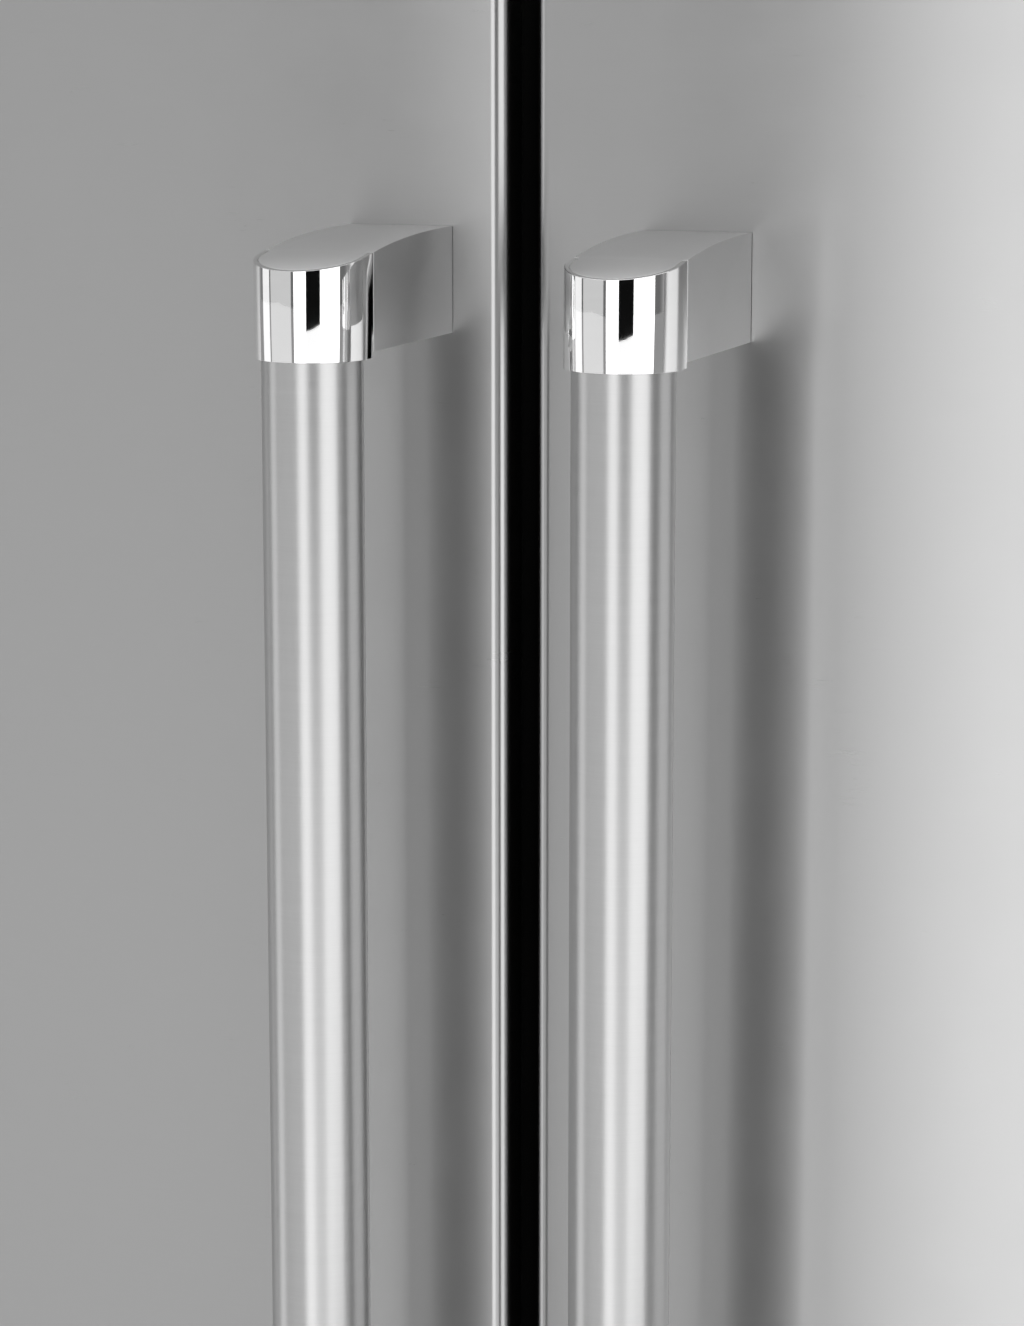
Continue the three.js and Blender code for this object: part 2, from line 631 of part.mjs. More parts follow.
const CRISPER_FLOOR = FOOD_FLOOR + 5;
const CRISPER_COVER_Z = CRISPER_FLOOR + CRISPER_HEIGHT + 6;
const DIVIDER_HALF = 3;

// The glass cover over the crispers, on a centre wall that stands on the floor.
function crisperCover() {
  const half = INNER_HALF - FIT - 2;
  const backY = STORE_Y + CRISPER_DEPTH + 40;
  return union([
    block([-half, half], [STORE_Y + 6, backY], [CRISPER_COVER_Z, CRISPER_COVER_Z + SHELF_WALL]),
    block([-half, half], [STORE_Y, STORE_Y + 12], [CRISPER_COVER_Z - 2, CRISPER_COVER_Z + 18]),
    block([-DIVIDER_HALF, DIVIDER_HALF], [STORE_Y + 20, backY], [FOOD_FLOOR + FIT, CRISPER_COVER_Z + 1]),
    block([-half, half], [backY - 4, backY], [FOOD_FLOOR + FIT, CRISPER_COVER_Z + 1]),
  ]);
}

// A crisper drawer: thin walls, and a thicker front with a finger scoop under its top edge.
function crisper(side) {
  const [inner, outer] = [side * (DIVIDER_HALF + 5), side * (INNER_HALF - 8)];
  const top = CRISPER_FLOOR + CRISPER_HEIGHT;
  const frontWall = 14;
  const body = tray([inner, outer], [STORE_Y, STORE_Y + CRISPER_DEPTH], [CRISPER_FLOOR, top], WALL).add(
    block([inner, outer], [STORE_Y, STORE_Y + frontWall], [CRISPER_FLOOR, top]),
  );
  const scoop = block(
    [side * 130, side * 280],
    [STORE_Y - 1, STORE_Y + frontWall - WALL],
    [top - 46, top - 14],
  );
  return body.subtract(scoop);
}

// The control and lamp module under the ceiling.
function controlPanel() {
  const profile = pathOf([
    [STORE_Y + 4, FOOD_CEILING - 22],
    [STORE_Y + 14, FOOD_CEILING - 28],
    [STORE_Y + 92, FOOD_CEILING - 16],
    [STORE_Y + 96, FOOD_CEILING - FIT],
    [STORE_Y, FOOD_CEILING - FIT],
  ]);
  return extrudeX(profile, -170, 170);
}

// ---------------------------------------------------------------- hinges

const HINGE_PLATE = 4;
const COVER_HEIGHT = 32;

// The top hinge's plate on the cabinet's roof, with its pin down into the door.
function topHinge(side) {
  const z = CABINET_TOP + FIT;
  const [outer, inner] = [side * (HALF - 6), side * (HALF - 64)];
  const pinX = side * (HALF - HINGE_INSET_X);
  return union([
    block([outer, inner], [FRONT_Y + 8, FRONT_Y + 96], [z, z + HINGE_PLATE]),
    block([side * (HALF - 6), side * (HALF - 30)], [PIN_Y - 11, FRONT_Y + 30], [z, z + HINGE_PLATE]),
    rod("z", PIN_RADIUS, DOOR_TOP - PIN_LENGTH + 2, z + 1, [pinX, PIN_Y]),
    rod("z", 7, z + 1, z + HINGE_PLATE + 5, [side * (HALF - 46), FRONT_Y + 40], 6),
    rod("z", 7, z + 1, z + HINGE_PLATE + 5, [side * (HALF - 46), FRONT_Y + 76], 6),
  ]);
}

// The plastic cover over a top hinge.
function hingeCover(side) {
  const [width, depth] = [78, FRONT_Y + 108 - (FACE_Y + 6)];
  const [cx, cy] = [side * (HALF - 1 - width / 2), FACE_Y + 6 + depth / 2];
  const z = CABINET_TOP + FIT;
  const outside = extrudeZ(roundedRect(cx, cy, width, depth, 16), z, z + COVER_HEIGHT);
  const inside = extrudeZ(roundedRect(cx, cy, width - 5, depth - 5, 13.5), z - 1, z + COVER_HEIGHT - 2.5);
  return outside.subtract(inside);
}

// The middle hinge on the crossrail, between a door and the drawer, with its pin up into the door.
function centreHinge(side) {
  const [outer, inner] = [side * (HALF - 5), side * (HALF - 56)];
  const pinX = side * (HALF - HINGE_INSET_X);
  return union([
    block([outer, inner], [FRONT_Y - 3 - FIT, FRONT_Y - FIT], [SPLIT_Z - 12, SPLIT_Z + 14]),
    block([side * (HALF - 5), side * (HALF - 40)], [PIN_Y - 11, FRONT_Y - 1], [SPLIT_Z - 2, SPLIT_Z + 2]),
    rod("z", PIN_RADIUS, SPLIT_Z, DOOR_BOTTOM + PIN_LENGTH - 2, [pinX, PIN_Y]),
  ]);
}

// ---------------------------------------------------------------- handles

// One handle, standing on the plane y = 0 with its bar along Z from 0 up to its length.
// Its ends are alike: the other one is the same turned over about Y, so its set screw is on the other side.
function handle(prefix, length, endNames, screwSide) {
  const group = new THREE.Group();
  const axisY = -HANDLE_REACH;
  const noseRadius = BAND_RADIUS - BAND_WALL - FIT;
  const bandBackY = axisY + BAND_BACK;
  const nose = new THREE.Shape();
  nose.absarc(0, axisY, noseRadius, Math.PI, 2 * Math.PI);
  nose.lineTo(noseRadius, bandBackY + FIT);
  nose.lineTo(BAND_RADIUS, bandBackY + FIT);
  nose.lineTo(BAND_RADIUS, -FIT);
  nose.lineTo(-BAND_RADIUS, -FIT);
  nose.lineTo(-BAND_RADIUS, bandBackY + FIT);
  nose.lineTo(-noseRadius, bandBackY + FIT);

  const band = new THREE.Shape();
  band.absarc(0, axisY, BAND_RADIUS, Math.PI, 2 * Math.PI);
  band.lineTo(BAND_RADIUS, bandBackY);
  band.lineTo(BAND_RADIUS - BAND_WALL, bandBackY);
  band.absarc(0, axisY, BAND_RADIUS - BAND_WALL, 2 * Math.PI, Math.PI, true);
  band.lineTo(-BAND_RADIUS + BAND_WALL, bandBackY);
  band.lineTo(-BAND_RADIUS, bandBackY);

  // the end seen from its side: its outer face climbs from the nose's front and levels out at the door
  const frontY = axisY - BAND_RADIUS;
  const climbed = (under) => {
    const shape = new THREE.Shape();
    shape.moveTo(frontY - 1, under);
    shape.lineTo(bandBackY, under);
    shape.lineTo(1, under + ARM_UNDER_RISE);
    shape.lineTo(1, ARM_RISE);
    for (let i = 0; i <= CLIMB_STEPS; i += 1) {
      const share = i / CLIMB_STEPS;
      shape.lineTo(frontY * share, ARM_RISE - ARM_CLIMB * share ** ARM_CURVE);
    }
    shape.lineTo(frontY - 1, ARM_RISE - ARM_CLIMB);
    return extrudeX(shape, -BAND_RADIUS * 2, BAND_RADIUS * 2);
  };

  const spigotRadius = BAR_RADIUS - BAR_WALL - FIT;
  const arm = extrudeZ(nose, -BAND_HEIGHT * 2, BAND_HEIGHT, 14)
    .intersect(climbed(-BAND_HEIGHT + BAND_SKIRT))
    .add(rod("z", spigotRadius, -BAND_HEIGHT - SPIGOT_LENGTH, -BAND_HEIGHT / 2, [0, axisY], SMALL_ROUND));
  const bandSolid = extrudeZ(band, -BAND_HEIGHT, BAND_HEIGHT, 14).intersect(climbed(-BAND_HEIGHT - ARM_UNDER_RISE));
  const setScrew = (side) =>
    rod("x", SET_SCREW_RADIUS, side * (BAND_RADIUS + 2), side * (BAND_RADIUS - 4), [0, SET_SCREW_Z], 10)
      .rotate([0, 0, -side * SET_SCREW_TURN[prefix]])
      .translate([0, axisY, 0]);

  endNames.forEach((end, i) => {
    const bracket = piece(`${prefix}_handle_${end}_bracket`, arm, SATIN_CAST);
    const side = i === 0 ? screwSide : -screwSide;
    const ring = piece(`${prefix}_handle_${end}_band`, bandSolid.subtract(setScrew(side)), CHROME);
    const holder = new THREE.Group();
    holder.add(bracket, ring);
    if (i === 0) holder.position.z = length;
    else holder.rotation.y = Math.PI;
    group.add(holder);
  });

  const barEnd = BAND_HEIGHT - BAND_SKIRT + FIT;
  const bar = rod("z", BAR_RADIUS, barEnd, length - barEnd, [0, axisY], ROUND).subtract(
    rod("z", BAR_RADIUS - BAR_WALL, barEnd - 1, length - barEnd + 1, [0, axisY], SMALL_ROUND),
  );
  group.add(piece(`${prefix}_handle_bar`, bar, STAINLESS));
  return group;
}

// ---------------------------------------------------------------- doors and drawer front

// The folded stainless skin: a front sheet with a bent edge down each side, its corners rounded.
function doorSkin([x0, x1], [z0, z1]) {
  const middle = (x0 + x1) / 2;
  const width = x1 - x0;
  const depth = RETURN_DEPTH + SKIN_BEND;
  const outside = extrudeZ(roundedRect(middle, FACE_Y + depth / 2, width, depth, SKIN_BEND), z0, z1, 6);
  const inside = extrudeZ(
    roundedRect(middle, FACE_Y + SHEET + depth / 2, width - 2 * SHEET, depth, SKIN_BEND - SHEET),
    z0 - 1,
    z1 + 1,
    6,
  );
  const behind = block([x0 - 1, x1 + 1], [FACE_Y + RETURN_DEPTH, FACE_Y + 3 * depth], [z0 - 1, z1 + 1]);
  return outside.subtract(inside).subtract(behind);
}

// The foamed core behind the skin, its edges, and the inner liner with its raised rim. rim is the rim's outer box.
function doorCore([x0, x1], [z0, z1], rim) {
  const inset = SHEET + FIT;
  const edge = 0.5;
  const filling = extrudeZ(
    roundedRect((x0 + x1) / 2, FACE_Y + inset + RETURN_DEPTH / 2, x1 - x0 - 2 * inset, RETURN_DEPTH, SKIN_BEND - SHEET),
    z0,
    z1,
    6,
  );
  const body = block([x0 + edge, x1 - edge], [FACE_Y + RETURN_DEPTH + FIT, DOOR_BACK_Y], [z0, z1]);
  const rimY = [DOOR_BACK_Y - 1, FRONT_Y + DYKE_DEPTH];
  const raised = block(rim.x, rimY, rim.z).subtract(
    block(
      [rim.x[0] + DYKE_WIDTH, rim.x[1] - DYKE_WIDTH],
      [DOOR_BACK_Y, FRONT_Y + DYKE_DEPTH + 1],
      [rim.z[0] + DYKE_WIDTH, rim.z[1] - DYKE_WIDTH],
    ),
  );
  return union([filling, body, raised]);
}

// The magnetic gasket: one closed ring between the door's back and the cabinet's flange.
function gasket([x0, x1], [z0, z1]) {
  const y = [DOOR_BACK_Y + FIT, FRONT_Y - FIT];
  return block([x0, x1], y, [z0, z1]).subtract(
    block(
      [x0 + GASKET_WIDTH, x1 - GASKET_WIDTH],
      [y[0] - 1, y[1] + 1],
      [z0 + GASKET_WIDTH, z1 - GASKET_WIDTH],
    ),
  );
}

const FOOD_RIM_Z = [FOOD_FLOOR + DYKE_CLEARANCE, FOOD_CEILING - DYKE_CLEARANCE];
const MULLION_SIDE_ROOM = 50; // gap's centre to each rim, which leaves room for the mullion
const BIN_SIDE_GAP = 2;
const BIN_FLOORS = { lower: FOOD_FLOOR + 36, upper: FOOD_CEILING - 275 };

// The rim's x range on a food door, from its hinge side to the middle.
function foodRimX(side) {
  const outer = side * (INNER_HALF - DYKE_CLEARANCE);
  const inner = GAP_CENTRE_X + side * MULLION_SIDE_ROOM;
  return side < 0 ? [outer, inner] : [inner, outer];
}

function doorBin(side, floor) {
  const [x0, x1] = foodRimX(side);
  const across = [x0 + DYKE_WIDTH + BIN_SIDE_GAP, x1 - DYKE_WIDTH - BIN_SIDE_GAP];
  return tray(across, [DOOR_BACK_Y + 3, FRONT_Y + BIN_DEPTH], [floor, floor + BIN_HEIGHT], WALL);
}

function foodDoor(prefix, side, [x0, x1]) {
  const group = new THREE.Group();
  const z = [DOOR_BOTTOM, DOOR_TOP];
  const pinX = side * (HALF - HINGE_INSET_X);
  const bores = [
    rod("z", PIN_RADIUS + 0.6, DOOR_TOP - PIN_LENGTH, DOOR_TOP + 1, [pinX, PIN_Y]),
    rod("z", PIN_RADIUS + 0.6, DOOR_BOTTOM - 1, DOOR_BOTTOM + PIN_LENGTH, [pinX, PIN_Y]),
  ];
  const core = bores.reduce(
    (solid, bore) => solid.subtract(bore),
    doorCore([x0, x1], z, { x: foodRimX(side), z: FOOD_RIM_Z }),
  );
  const gasketX =
    side < 0 ? [x0 + GASKET_OUTER_INSET, x1 - GASKET_FREE_INSET] : [x0 + GASKET_FREE_INSET, x1 - GASKET_OUTER_INSET];
  const grip = handle(prefix, DOOR_TOP - DOOR_BOTTOM - 2 * HANDLE_MARGIN, ["upper", "lower"], -1);
  grip.position.set((side * HANDLE_SPACING) / 2, FACE_Y, DOOR_BOTTOM + HANDLE_MARGIN);
  group.add(
    piece(`${prefix}_door_skin`, doorSkin([x0, x1], z), STAINLESS),
    piece(`${prefix}_door_liner`, core, WHITE_PLASTIC),
    piece(
      `${prefix}_door_gasket`,
      gasket(gasketX, [DOOR_BOTTOM + GASKET_OUTER_INSET, DOOR_TOP - GASKET_TOP_INSET]),
      DARK_RUBBER,
    ),
    piece(`${prefix}_upper_bin`, doorBin(side, BIN_FLOORS.upper), CLEAR_PLASTIC),
    piece(`${prefix}_lower_bin`, doorBin(side, BIN_FLOORS.lower), CLEAR_PLASTIC),
    grip,
  );
  return group;
}

// The folding mullion on the left door, in its folded place along the door's free edge.
// Its pivot is at its own corner (0, 0), behind the gasket.
const MULLION_PIVOT_X = GAP_CENTRE_X - MULLION_WIDTH / 2;
const MULLION_PIVOT_Y = FRONT_Y + MULLION_THICKNESS + 0.5;

function mullion() {
  const [z0, z1] = [FOOD_FLOOR + 6, FOOD_CEILING - 6];
  const post = extrudeZ(
    roundedRect(MULLION_THICKNESS / 2, MULLION_WIDTH / 2, MULLION_THICKNESS, MULLION_WIDTH, 3),
    z0,
    z1,
    3,
  );
  const arm = 14;
  const hinges = [z0 + 120, (z0 + z1) / 2, z1 - 120].map((z) => block([-arm, 2], [4, 12], [z - 22, z + 22]));
  const mesh = piece("mullion", union([post, ...hinges]), DARK_RUBBER);
  mesh.position.set(MULLION_PIVOT_X, MULLION_PIVOT_Y, 0);
  return mesh;
}

const BASKET_FLOOR = 178;
const BASKET_TOP = 450;
const CROSS_BAR = 8;
const CROSS_BAR_Y = RAIL_BACK_Y - 2 - CROSS_BAR;

function drawerRails() {
  const frontY = FRONT_Y + DYKE_DEPTH + FIT;
  const backY = CROSS_BAR_Y + CROSS_BAR;
  const rails = [-1, 1].map((side) => block([side * RAIL_X[0], side * RAIL_X[1]], [frontY, backY], RAIL_Z));
  const crossBar = block([-RAIL_X[0] - 1, RAIL_X[0] + 1], [CROSS_BAR_Y, backY], [RAIL_Z[0] + CROSS_BAR, RAIL_Z[1]]);
  const lugs = [-1, 1].map((side) =>
    block([side * RAIL_X[0], side * RAIL_X[1]], [frontY, frontY + 3], [RAIL_Z[0], RAIL_Z[1] + 30]),
  );
  return union([...rails, ...lugs, crossBar]);
}

// The deep basket stands between the rails and hangs on them by a flange along each side.
function freezerBasket() {
  const half = RAIL_X[0] - 3;
  const y = [FRONT_Y + DYKE_DEPTH + 6, CROSS_BAR_Y - 4];
  const flangeZ = [RAIL_Z[1] + FIT, RAIL_Z[1] + FIT + WALL];
  const basket = tray([-half, half], y, [BASKET_FLOOR, BASKET_TOP], WALL);
  const flanges = [-1, 1].map((side) =>
    block([side * (half - 1), side * (RAIL_X[1] - 1)], [y[0] + 12, y[1] - 12], flangeZ),
  );
  return union([basket, ...flanges]);
}

function freezerTray() {
  const half = INNER_HALF - 4;
  return tray(
    [-half, half],
    [FRONT_Y + TRAY_SETBACK, FRONT_Y + TRAY_SETBACK + TRAY_DEPTH - 10],
    [TRAY_FLOOR, TRAY_FLOOR + TRAY_HEIGHT],
    WALL,
  );
}

function freezerDrawer() {
  const group = new THREE.Group();
  const x = [-HALF, HALF];
  const z = [DRAWER_BOTTOM, DRAWER_TOP];
  const rim = {
    x: [-INNER_HALF + DYKE_CLEARANCE, INNER_HALF - DYKE_CLEARANCE],
    z: [FREEZER_FLOOR + DYKE_CLEARANCE, FREEZER_CEILING - DYKE_CLEARANCE],
  };
  const grip = handle("drawer", DRAWER_HANDLE_LENGTH, ["right", "left"], -1);
  grip.rotation.y = Math.PI / 2;
  grip.position.set(-DRAWER_HANDLE_LENGTH / 2, FACE_Y, DRAWER_TOP - DRAWER_HANDLE_DROP);
  group.add(
    piece("drawer_skin", doorSkin(x, z), STAINLESS),
    piece("drawer_liner", doorCore(x, z, rim), WHITE_PLASTIC),
    piece(
      "drawer_gasket",
      gasket(
        [-HALF + GASKET_OUTER_INSET, HALF - GASKET_OUTER_INSET],
        [FREEZER_FLOOR - 38, DRAWER_TOP - GASKET_TOP_INSET],
      ),
      DARK_RUBBER,
    ),
    piece("drawer_rail_frame", drawerRails(), GALVANISED),
    piece("freezer_basket", freezerBasket(), WHITE_PLASTIC),
    grip,
  );
  return group;
}

// ---------------------------------------------------------------- the whole refrigerator

const refrigerator = new THREE.Group();
refrigerator.name = "french_door_refrigerator";

const cabinet = new THREE.Group();
cabinet.add(
  piece("cabinet_wrapper", cabinetWrapper(), PAINTED_GREY),
  piece("cabinet_foam", cabinetFoam(), FOAM),
  piece("inner_liner", innerLiner(), WHITE_PLASTIC),
  piece("rear_panel", rearPanel(), GALVANISED),
  piece("machine_cover", machineCover(), GALVANISED),
  piece("base_frame", baseFrame(), GALVANISED),
  piece("toe_grille", toeGrille(), BLACK_PLASTIC),
  piece("evaporator_module", evaporatorModule(), WHITE_PLASTIC),
  piece("left_shelves", shelfStack(-1, SHELF_HEIGHTS.left), SHELF_GLASS),
  piece("right_shelves", shelfStack(1, SHELF_HEIGHTS.right), SHELF_GLASS),
  piece("crisper_cover", crisperCover(), SHELF_GLASS),
  piece("control_panel", controlPanel(), WHITE_PLASTIC),
  compressor(),
  condenser(),
);
for (const [word, side] of [["left", -1], ["right", 1]]) {
  cabinet.add(
    piece(`${word}_top_hinge`, topHinge(side), GALVANISED),
    piece(`${word}_hinge_cover`, hingeCover(side), PAINTED_GREY),
    piece(`${word}_centre_hinge`, centreHinge(side), GALVANISED),
  );
}
refrigerator.add(cabinet, condenserFan(), evaporatorFan());
for (const [word, side] of [["left", -1], ["right", 1]]) {
  refrigerator.add(
    roller(`${word}_rear_roller`, side),
    levellingLeg(`${word}_levelling_leg`, side),
    piece(`${word}_crisper`, crisper(side), CLEAR_PLASTIC),
  );
}
refrigerator.add(
  foodDoor("left", -1, LEFT_DOOR),
  foodDoor("right", 1, RIGHT_DOOR),
  mullion(),
  freezerDrawer(),
  piece("freezer_tray", freezerTray(), WHITE_PLASTIC),
);

export default refrigerator;
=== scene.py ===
"""A french door refrigerator: brushed steel doors with banded bar handles over a freezer drawer.

Laid out as a Blender add-on. Run as a script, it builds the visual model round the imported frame.
"""

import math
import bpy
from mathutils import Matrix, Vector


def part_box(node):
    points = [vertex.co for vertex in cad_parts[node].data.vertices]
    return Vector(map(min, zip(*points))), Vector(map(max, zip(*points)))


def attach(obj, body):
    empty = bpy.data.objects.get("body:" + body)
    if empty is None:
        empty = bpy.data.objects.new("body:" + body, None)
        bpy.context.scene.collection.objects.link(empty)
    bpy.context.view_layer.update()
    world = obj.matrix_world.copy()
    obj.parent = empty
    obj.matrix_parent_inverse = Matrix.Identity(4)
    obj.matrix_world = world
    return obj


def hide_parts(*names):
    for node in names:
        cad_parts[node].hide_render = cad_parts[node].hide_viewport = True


bl_info = {
    "name": "French Door Refrigerator",
    "version": (1, 0, 0),
    "blender": (4, 5, 0),
    "location": "View3D > Sidebar > Refrigerator",
    "description": "Builds the doors, handles, interior and finishes of a french door refrigerator",
    "category": "Add Mesh",
}

import bmesh
import bpy
from bpy.props import FloatProperty, FloatVectorProperty, IntProperty, PointerProperty
from mathutils import Matrix, Vector

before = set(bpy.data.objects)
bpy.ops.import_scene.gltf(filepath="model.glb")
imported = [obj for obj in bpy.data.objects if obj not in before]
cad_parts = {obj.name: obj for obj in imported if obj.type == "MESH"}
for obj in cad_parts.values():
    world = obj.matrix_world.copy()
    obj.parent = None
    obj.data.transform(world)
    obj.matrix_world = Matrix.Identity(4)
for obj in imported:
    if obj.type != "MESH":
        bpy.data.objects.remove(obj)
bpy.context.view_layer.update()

MM = 0.001
TOUCH = 1e-6  # metres within which two places are the same
SIDES = ("left", "right")
DOORS = {"left": "left_door", "right": "right_door", "drawer": "freezer_drawer"}


# ---------------------------------------------------------------- sizes and colours for a user


class HandleSizes(bpy.types.PropertyGroup):
    edge_round: FloatProperty(
        name="Edge round", description="Radius of the rounded edges of the handle's brackets",
        default=0.8 * MM, min=0.1 * MM, max=2 * MM, unit="LENGTH",
    )
    band_round: FloatProperty(
        name="Band rim round", description="Radius of the polished band's rims",
        default=0.45 * MM, min=0.1 * MM, max=0.6 * MM, unit="LENGTH",
    )
    band_wall: FloatProperty(
        name="Band wall", description="Wall of the polished band", default=1.2 * MM, min=0.8 * MM,
        max=2 * MM, unit="LENGTH",
    )
    bar_wall: FloatProperty(
        name="Bar wall", description="Wall of the handle's tube", default=1.5 * MM, min=1 * MM,
        max=3 * MM, unit="LENGTH",
    )
    sides: IntProperty(
        name="Sides", description="Number of sides on a full turn of the round pieces",
        default=96, min=24, max=192,
    )


class DoorSizes(bpy.types.PropertyGroup):
    sheet: FloatProperty(
        name="Sheet", description="Thickness of the stainless sheet", default=0.8 * MM,
        min=0.5 * MM, max=1 * MM, unit="LENGTH",
    )
    bend: FloatProperty(
        name="Bend radius", description="Radius of the sheet's bent edges", default=4.3 * MM,
        min=0.5 * MM, max=6 * MM, unit="LENGTH",
    )
    liner_round: FloatProperty(
        name="Liner round", description="Radius of the moulded liner's edges", default=5 * MM,
        min=1 * MM, max=8 * MM, unit="LENGTH",
    )


class InsideSizes(bpy.types.PropertyGroup):
    wall: FloatProperty(
        name="Bin wall", description="Wall of the clear bins and drawers", default=2.4 * MM,
        min=1.5 * MM, max=3 * MM, unit="LENGTH",
    )
    bin_round: FloatProperty(
        name="Bin corner", description="Radius of the bins' upright corners", default=14 * MM,
        min=3 * MM, max=30 * MM, unit="LENGTH",
    )
    glass: FloatProperty(
        name="Shelf glass", description="Thickness of the shelf glass", default=4 * MM,
        min=3 * MM, max=6 * MM, unit="LENGTH",
    )


class Colours(bpy.types.PropertyGroup):
    steel: FloatVectorProperty(
        name="Brushed steel", description="Reflection colour of the stainless sheet and tubes",
        default=(0.50, 0.50, 0.50), min=0, max=1, size=3, subtype="COLOR",
    )
    cabinet: FloatVectorProperty(
        name="Cabinet paint", description="Colour of the painted cabinet",
        default=(0.17, 0.175, 0.18), min=0, max=1, size=3, subtype="COLOR",
    )
    liner: FloatVectorProperty(
        name="Liner", description="Colour of the moulded white liners",
        default=(0.84, 0.85, 0.85), min=0, max=1, size=3, subtype="COLOR",
    )


class StudioLight(bpy.types.PropertyGroup):
    sky: FloatProperty(
        name="Surround", description="Brightness of the even surround", default=0.14, min=0,
        max=2,
    )
    back: FloatProperty(
        name="Surround behind", description="Brightness of the surround behind the doors",
        default=0.75, min=0, max=2,
    )
    wide: FloatProperty(
        name="Wide panel", description="Brightness of the wide front left panel", default=0.46,
        min=0, max=5,
    )
    key: FloatProperty(
        name="Key panel", description="Brightness of the upper front panel", default=1.42, min=0,
        max=5,
    )
    low: FloatProperty(
        name="Low panel", description="Brightness of the lower front panel", default=0.80, min=0,
        max=5,
    )
    right: FloatProperty(
        name="Right panel", description="Brightness of the front right panel", default=1.45,
        min=0, max=5,
    )


PROPERTY_GROUPS = {
    "fridge_handle": HandleSizes,
    "fridge_door": DoorSizes,
    "fridge_inside": InsideSizes,
    "fridge_colours": Colours,
    "fridge_light": StudioLight,
}


# ---------------------------------------------------------------- shader expressions


class Tap:
    """A value socket that Python expressions can use."""

    def __init__(self, tree, socket):
        self.tree = tree
        self.socket = socket

    def _maths(self, operation, first, second):
        node = self.tree.nodes.new("ShaderNodeMath")
        node.operation = operation
        for i, value in enumerate((first, second)):
            if isinstance(value, Tap):
                self.tree.links.new(value.socket, node.inputs[i])
            else:
                node.inputs[i].default_value = value
        return Tap(self.tree, node.outputs[0])

    def __add__(self, other):
        return self._maths("ADD", self, other)

    def __sub__(self, other):
        return self._maths("SUBTRACT", self, other)

    def __rsub__(self, other):
        return self._maths("SUBTRACT", other, self)

    def __mul__(self, other):
        return self._maths("MULTIPLY", self, other)

    __radd__ = __add__
    __rmul__ = __mul__

    def between(self, low, high):
        """0 below low, 1 above high, and smooth between them."""
        node = self.tree.nodes.new("ShaderNodeMapRange")
        node.interpolation_type = "SMOOTHSTEP"
        self.tree.links.new(self.socket, node.inputs["Value"])
        node.inputs["From Min"].default_value = low
        node.inputs["From Max"].default_value = high
        return Tap(self.tree, node.outputs[0])


class Paint:
    """A material, or the world, being put together."""

    def __init__(self, name, world=None):
        self.material = world or bpy.data.materials.new(name)
        self.material.use_nodes = True
        self.tree = self.material.node_tree
        self.tree.nodes.clear()

    def node(self, kind, settings=None, output=0, **sockets):
        """Adds a node: its settings first, then the values or links of its sockets."""
        node = self.tree.nodes.new("ShaderNode" + kind)
        for key, value in (settings or {}).items():
            setattr(node, key, value)
        for key, value in sockets.items():
            numbered = key[0] == "i" and key[1:].isdigit()
            socket = node.inputs[int(key[1:]) if numbered else key.replace("_", " ")]
            if isinstance(value, Tap):
                self.tree.links.new(value.socket, socket)
            else:
                socket.default_value = value
        return Tap(self.tree, node.outputs[output]) if node.outputs else node

    def place(self, stretch=(1, 1, 1)):
        """The piece's own coordinates in metres, stretched."""
        return self.node("Mapping", Vector=self.node("TexCoord", output=3), Scale=stretch)

    def noise(self, where, scale, detail=2.0, roughness=0.5, distortion=0.0):
        return self.node(
            "TexNoise",
            Vector=where,
            Scale=scale,
            Detail=detail,
            Roughness=roughness,
            Distortion=distortion,
        )

    def cells(self, where, scale, feature="F1", output=0):
        return self.node("TexVoronoi", {"feature": feature}, output, Vector=where, Scale=scale)

    def blend(self, factor, first, second):
        """A colour between two colours."""
        return self.node("Mix", {"data_type": "RGBA"}, 2, i0=factor, i6=(*first, 1), i7=(*second, 1))

    def relief(self, height, depth):
        """A normal from a height between 0 and 1 that stands for a depth in metres."""
        return self.node("Bump", Height=height, Distance=depth, Strength=1.0)

    def finish(self, **sockets):
        """Ends the material in a Principled shader with these sockets."""
        shader = self.node("BsdfPrincipled", **sockets)
        self.node("OutputMaterial", Surface=shader)
        return self.material


FINISHES = {}


def finish_of(maker):
    """Each finish is made once, the first time that it is asked for."""
    name = maker.__name__

    def cached(*args):
        key = (name, *args)
        if key not in FINISHES:
            FINISHES[key] = maker("_".join(str(k) for k in key), *args)
        return FINISHES[key]

    return cached


def tinted(colour, factor):
    """A colour made lighter or darker."""
    return tuple(c * factor for c in colour)


@finish_of
def brushed_sheet(name):
    """Stainless sheet with a faint level grain, as on the doors."""
    steel = tuple(bpy.context.scene.fridge_colours.steel)
    paint = Paint(name)
    grain = paint.noise(paint.place((40, 40, 2600)), 1.0, 3.0, 0.6)
    long_grain = paint.noise(paint.place((6, 6, 700)), 1.0, 2.0)
    cloud = paint.noise(paint.place(), 55.0, 4.0, 0.6)
    height = grain * 0.7 + long_grain * 0.3
    shade = (grain - 0.5) * 0.22 + (cloud - 0.5) * 0.24 + 0.5
    return paint.finish(
        Base_Color=paint.blend(shade, tinted(steel, 0.93), tinted(steel, 1.07)),
        Metallic=1.0,
        Roughness=(cloud - 0.5) * 0.05 + (grain - 0.5) * 0.05 + 0.29,
        Anisotropic=0.75,
        Anisotropic_Rotation=0.25,
        Normal=paint.relief(height, 0.004 * MM),
    )


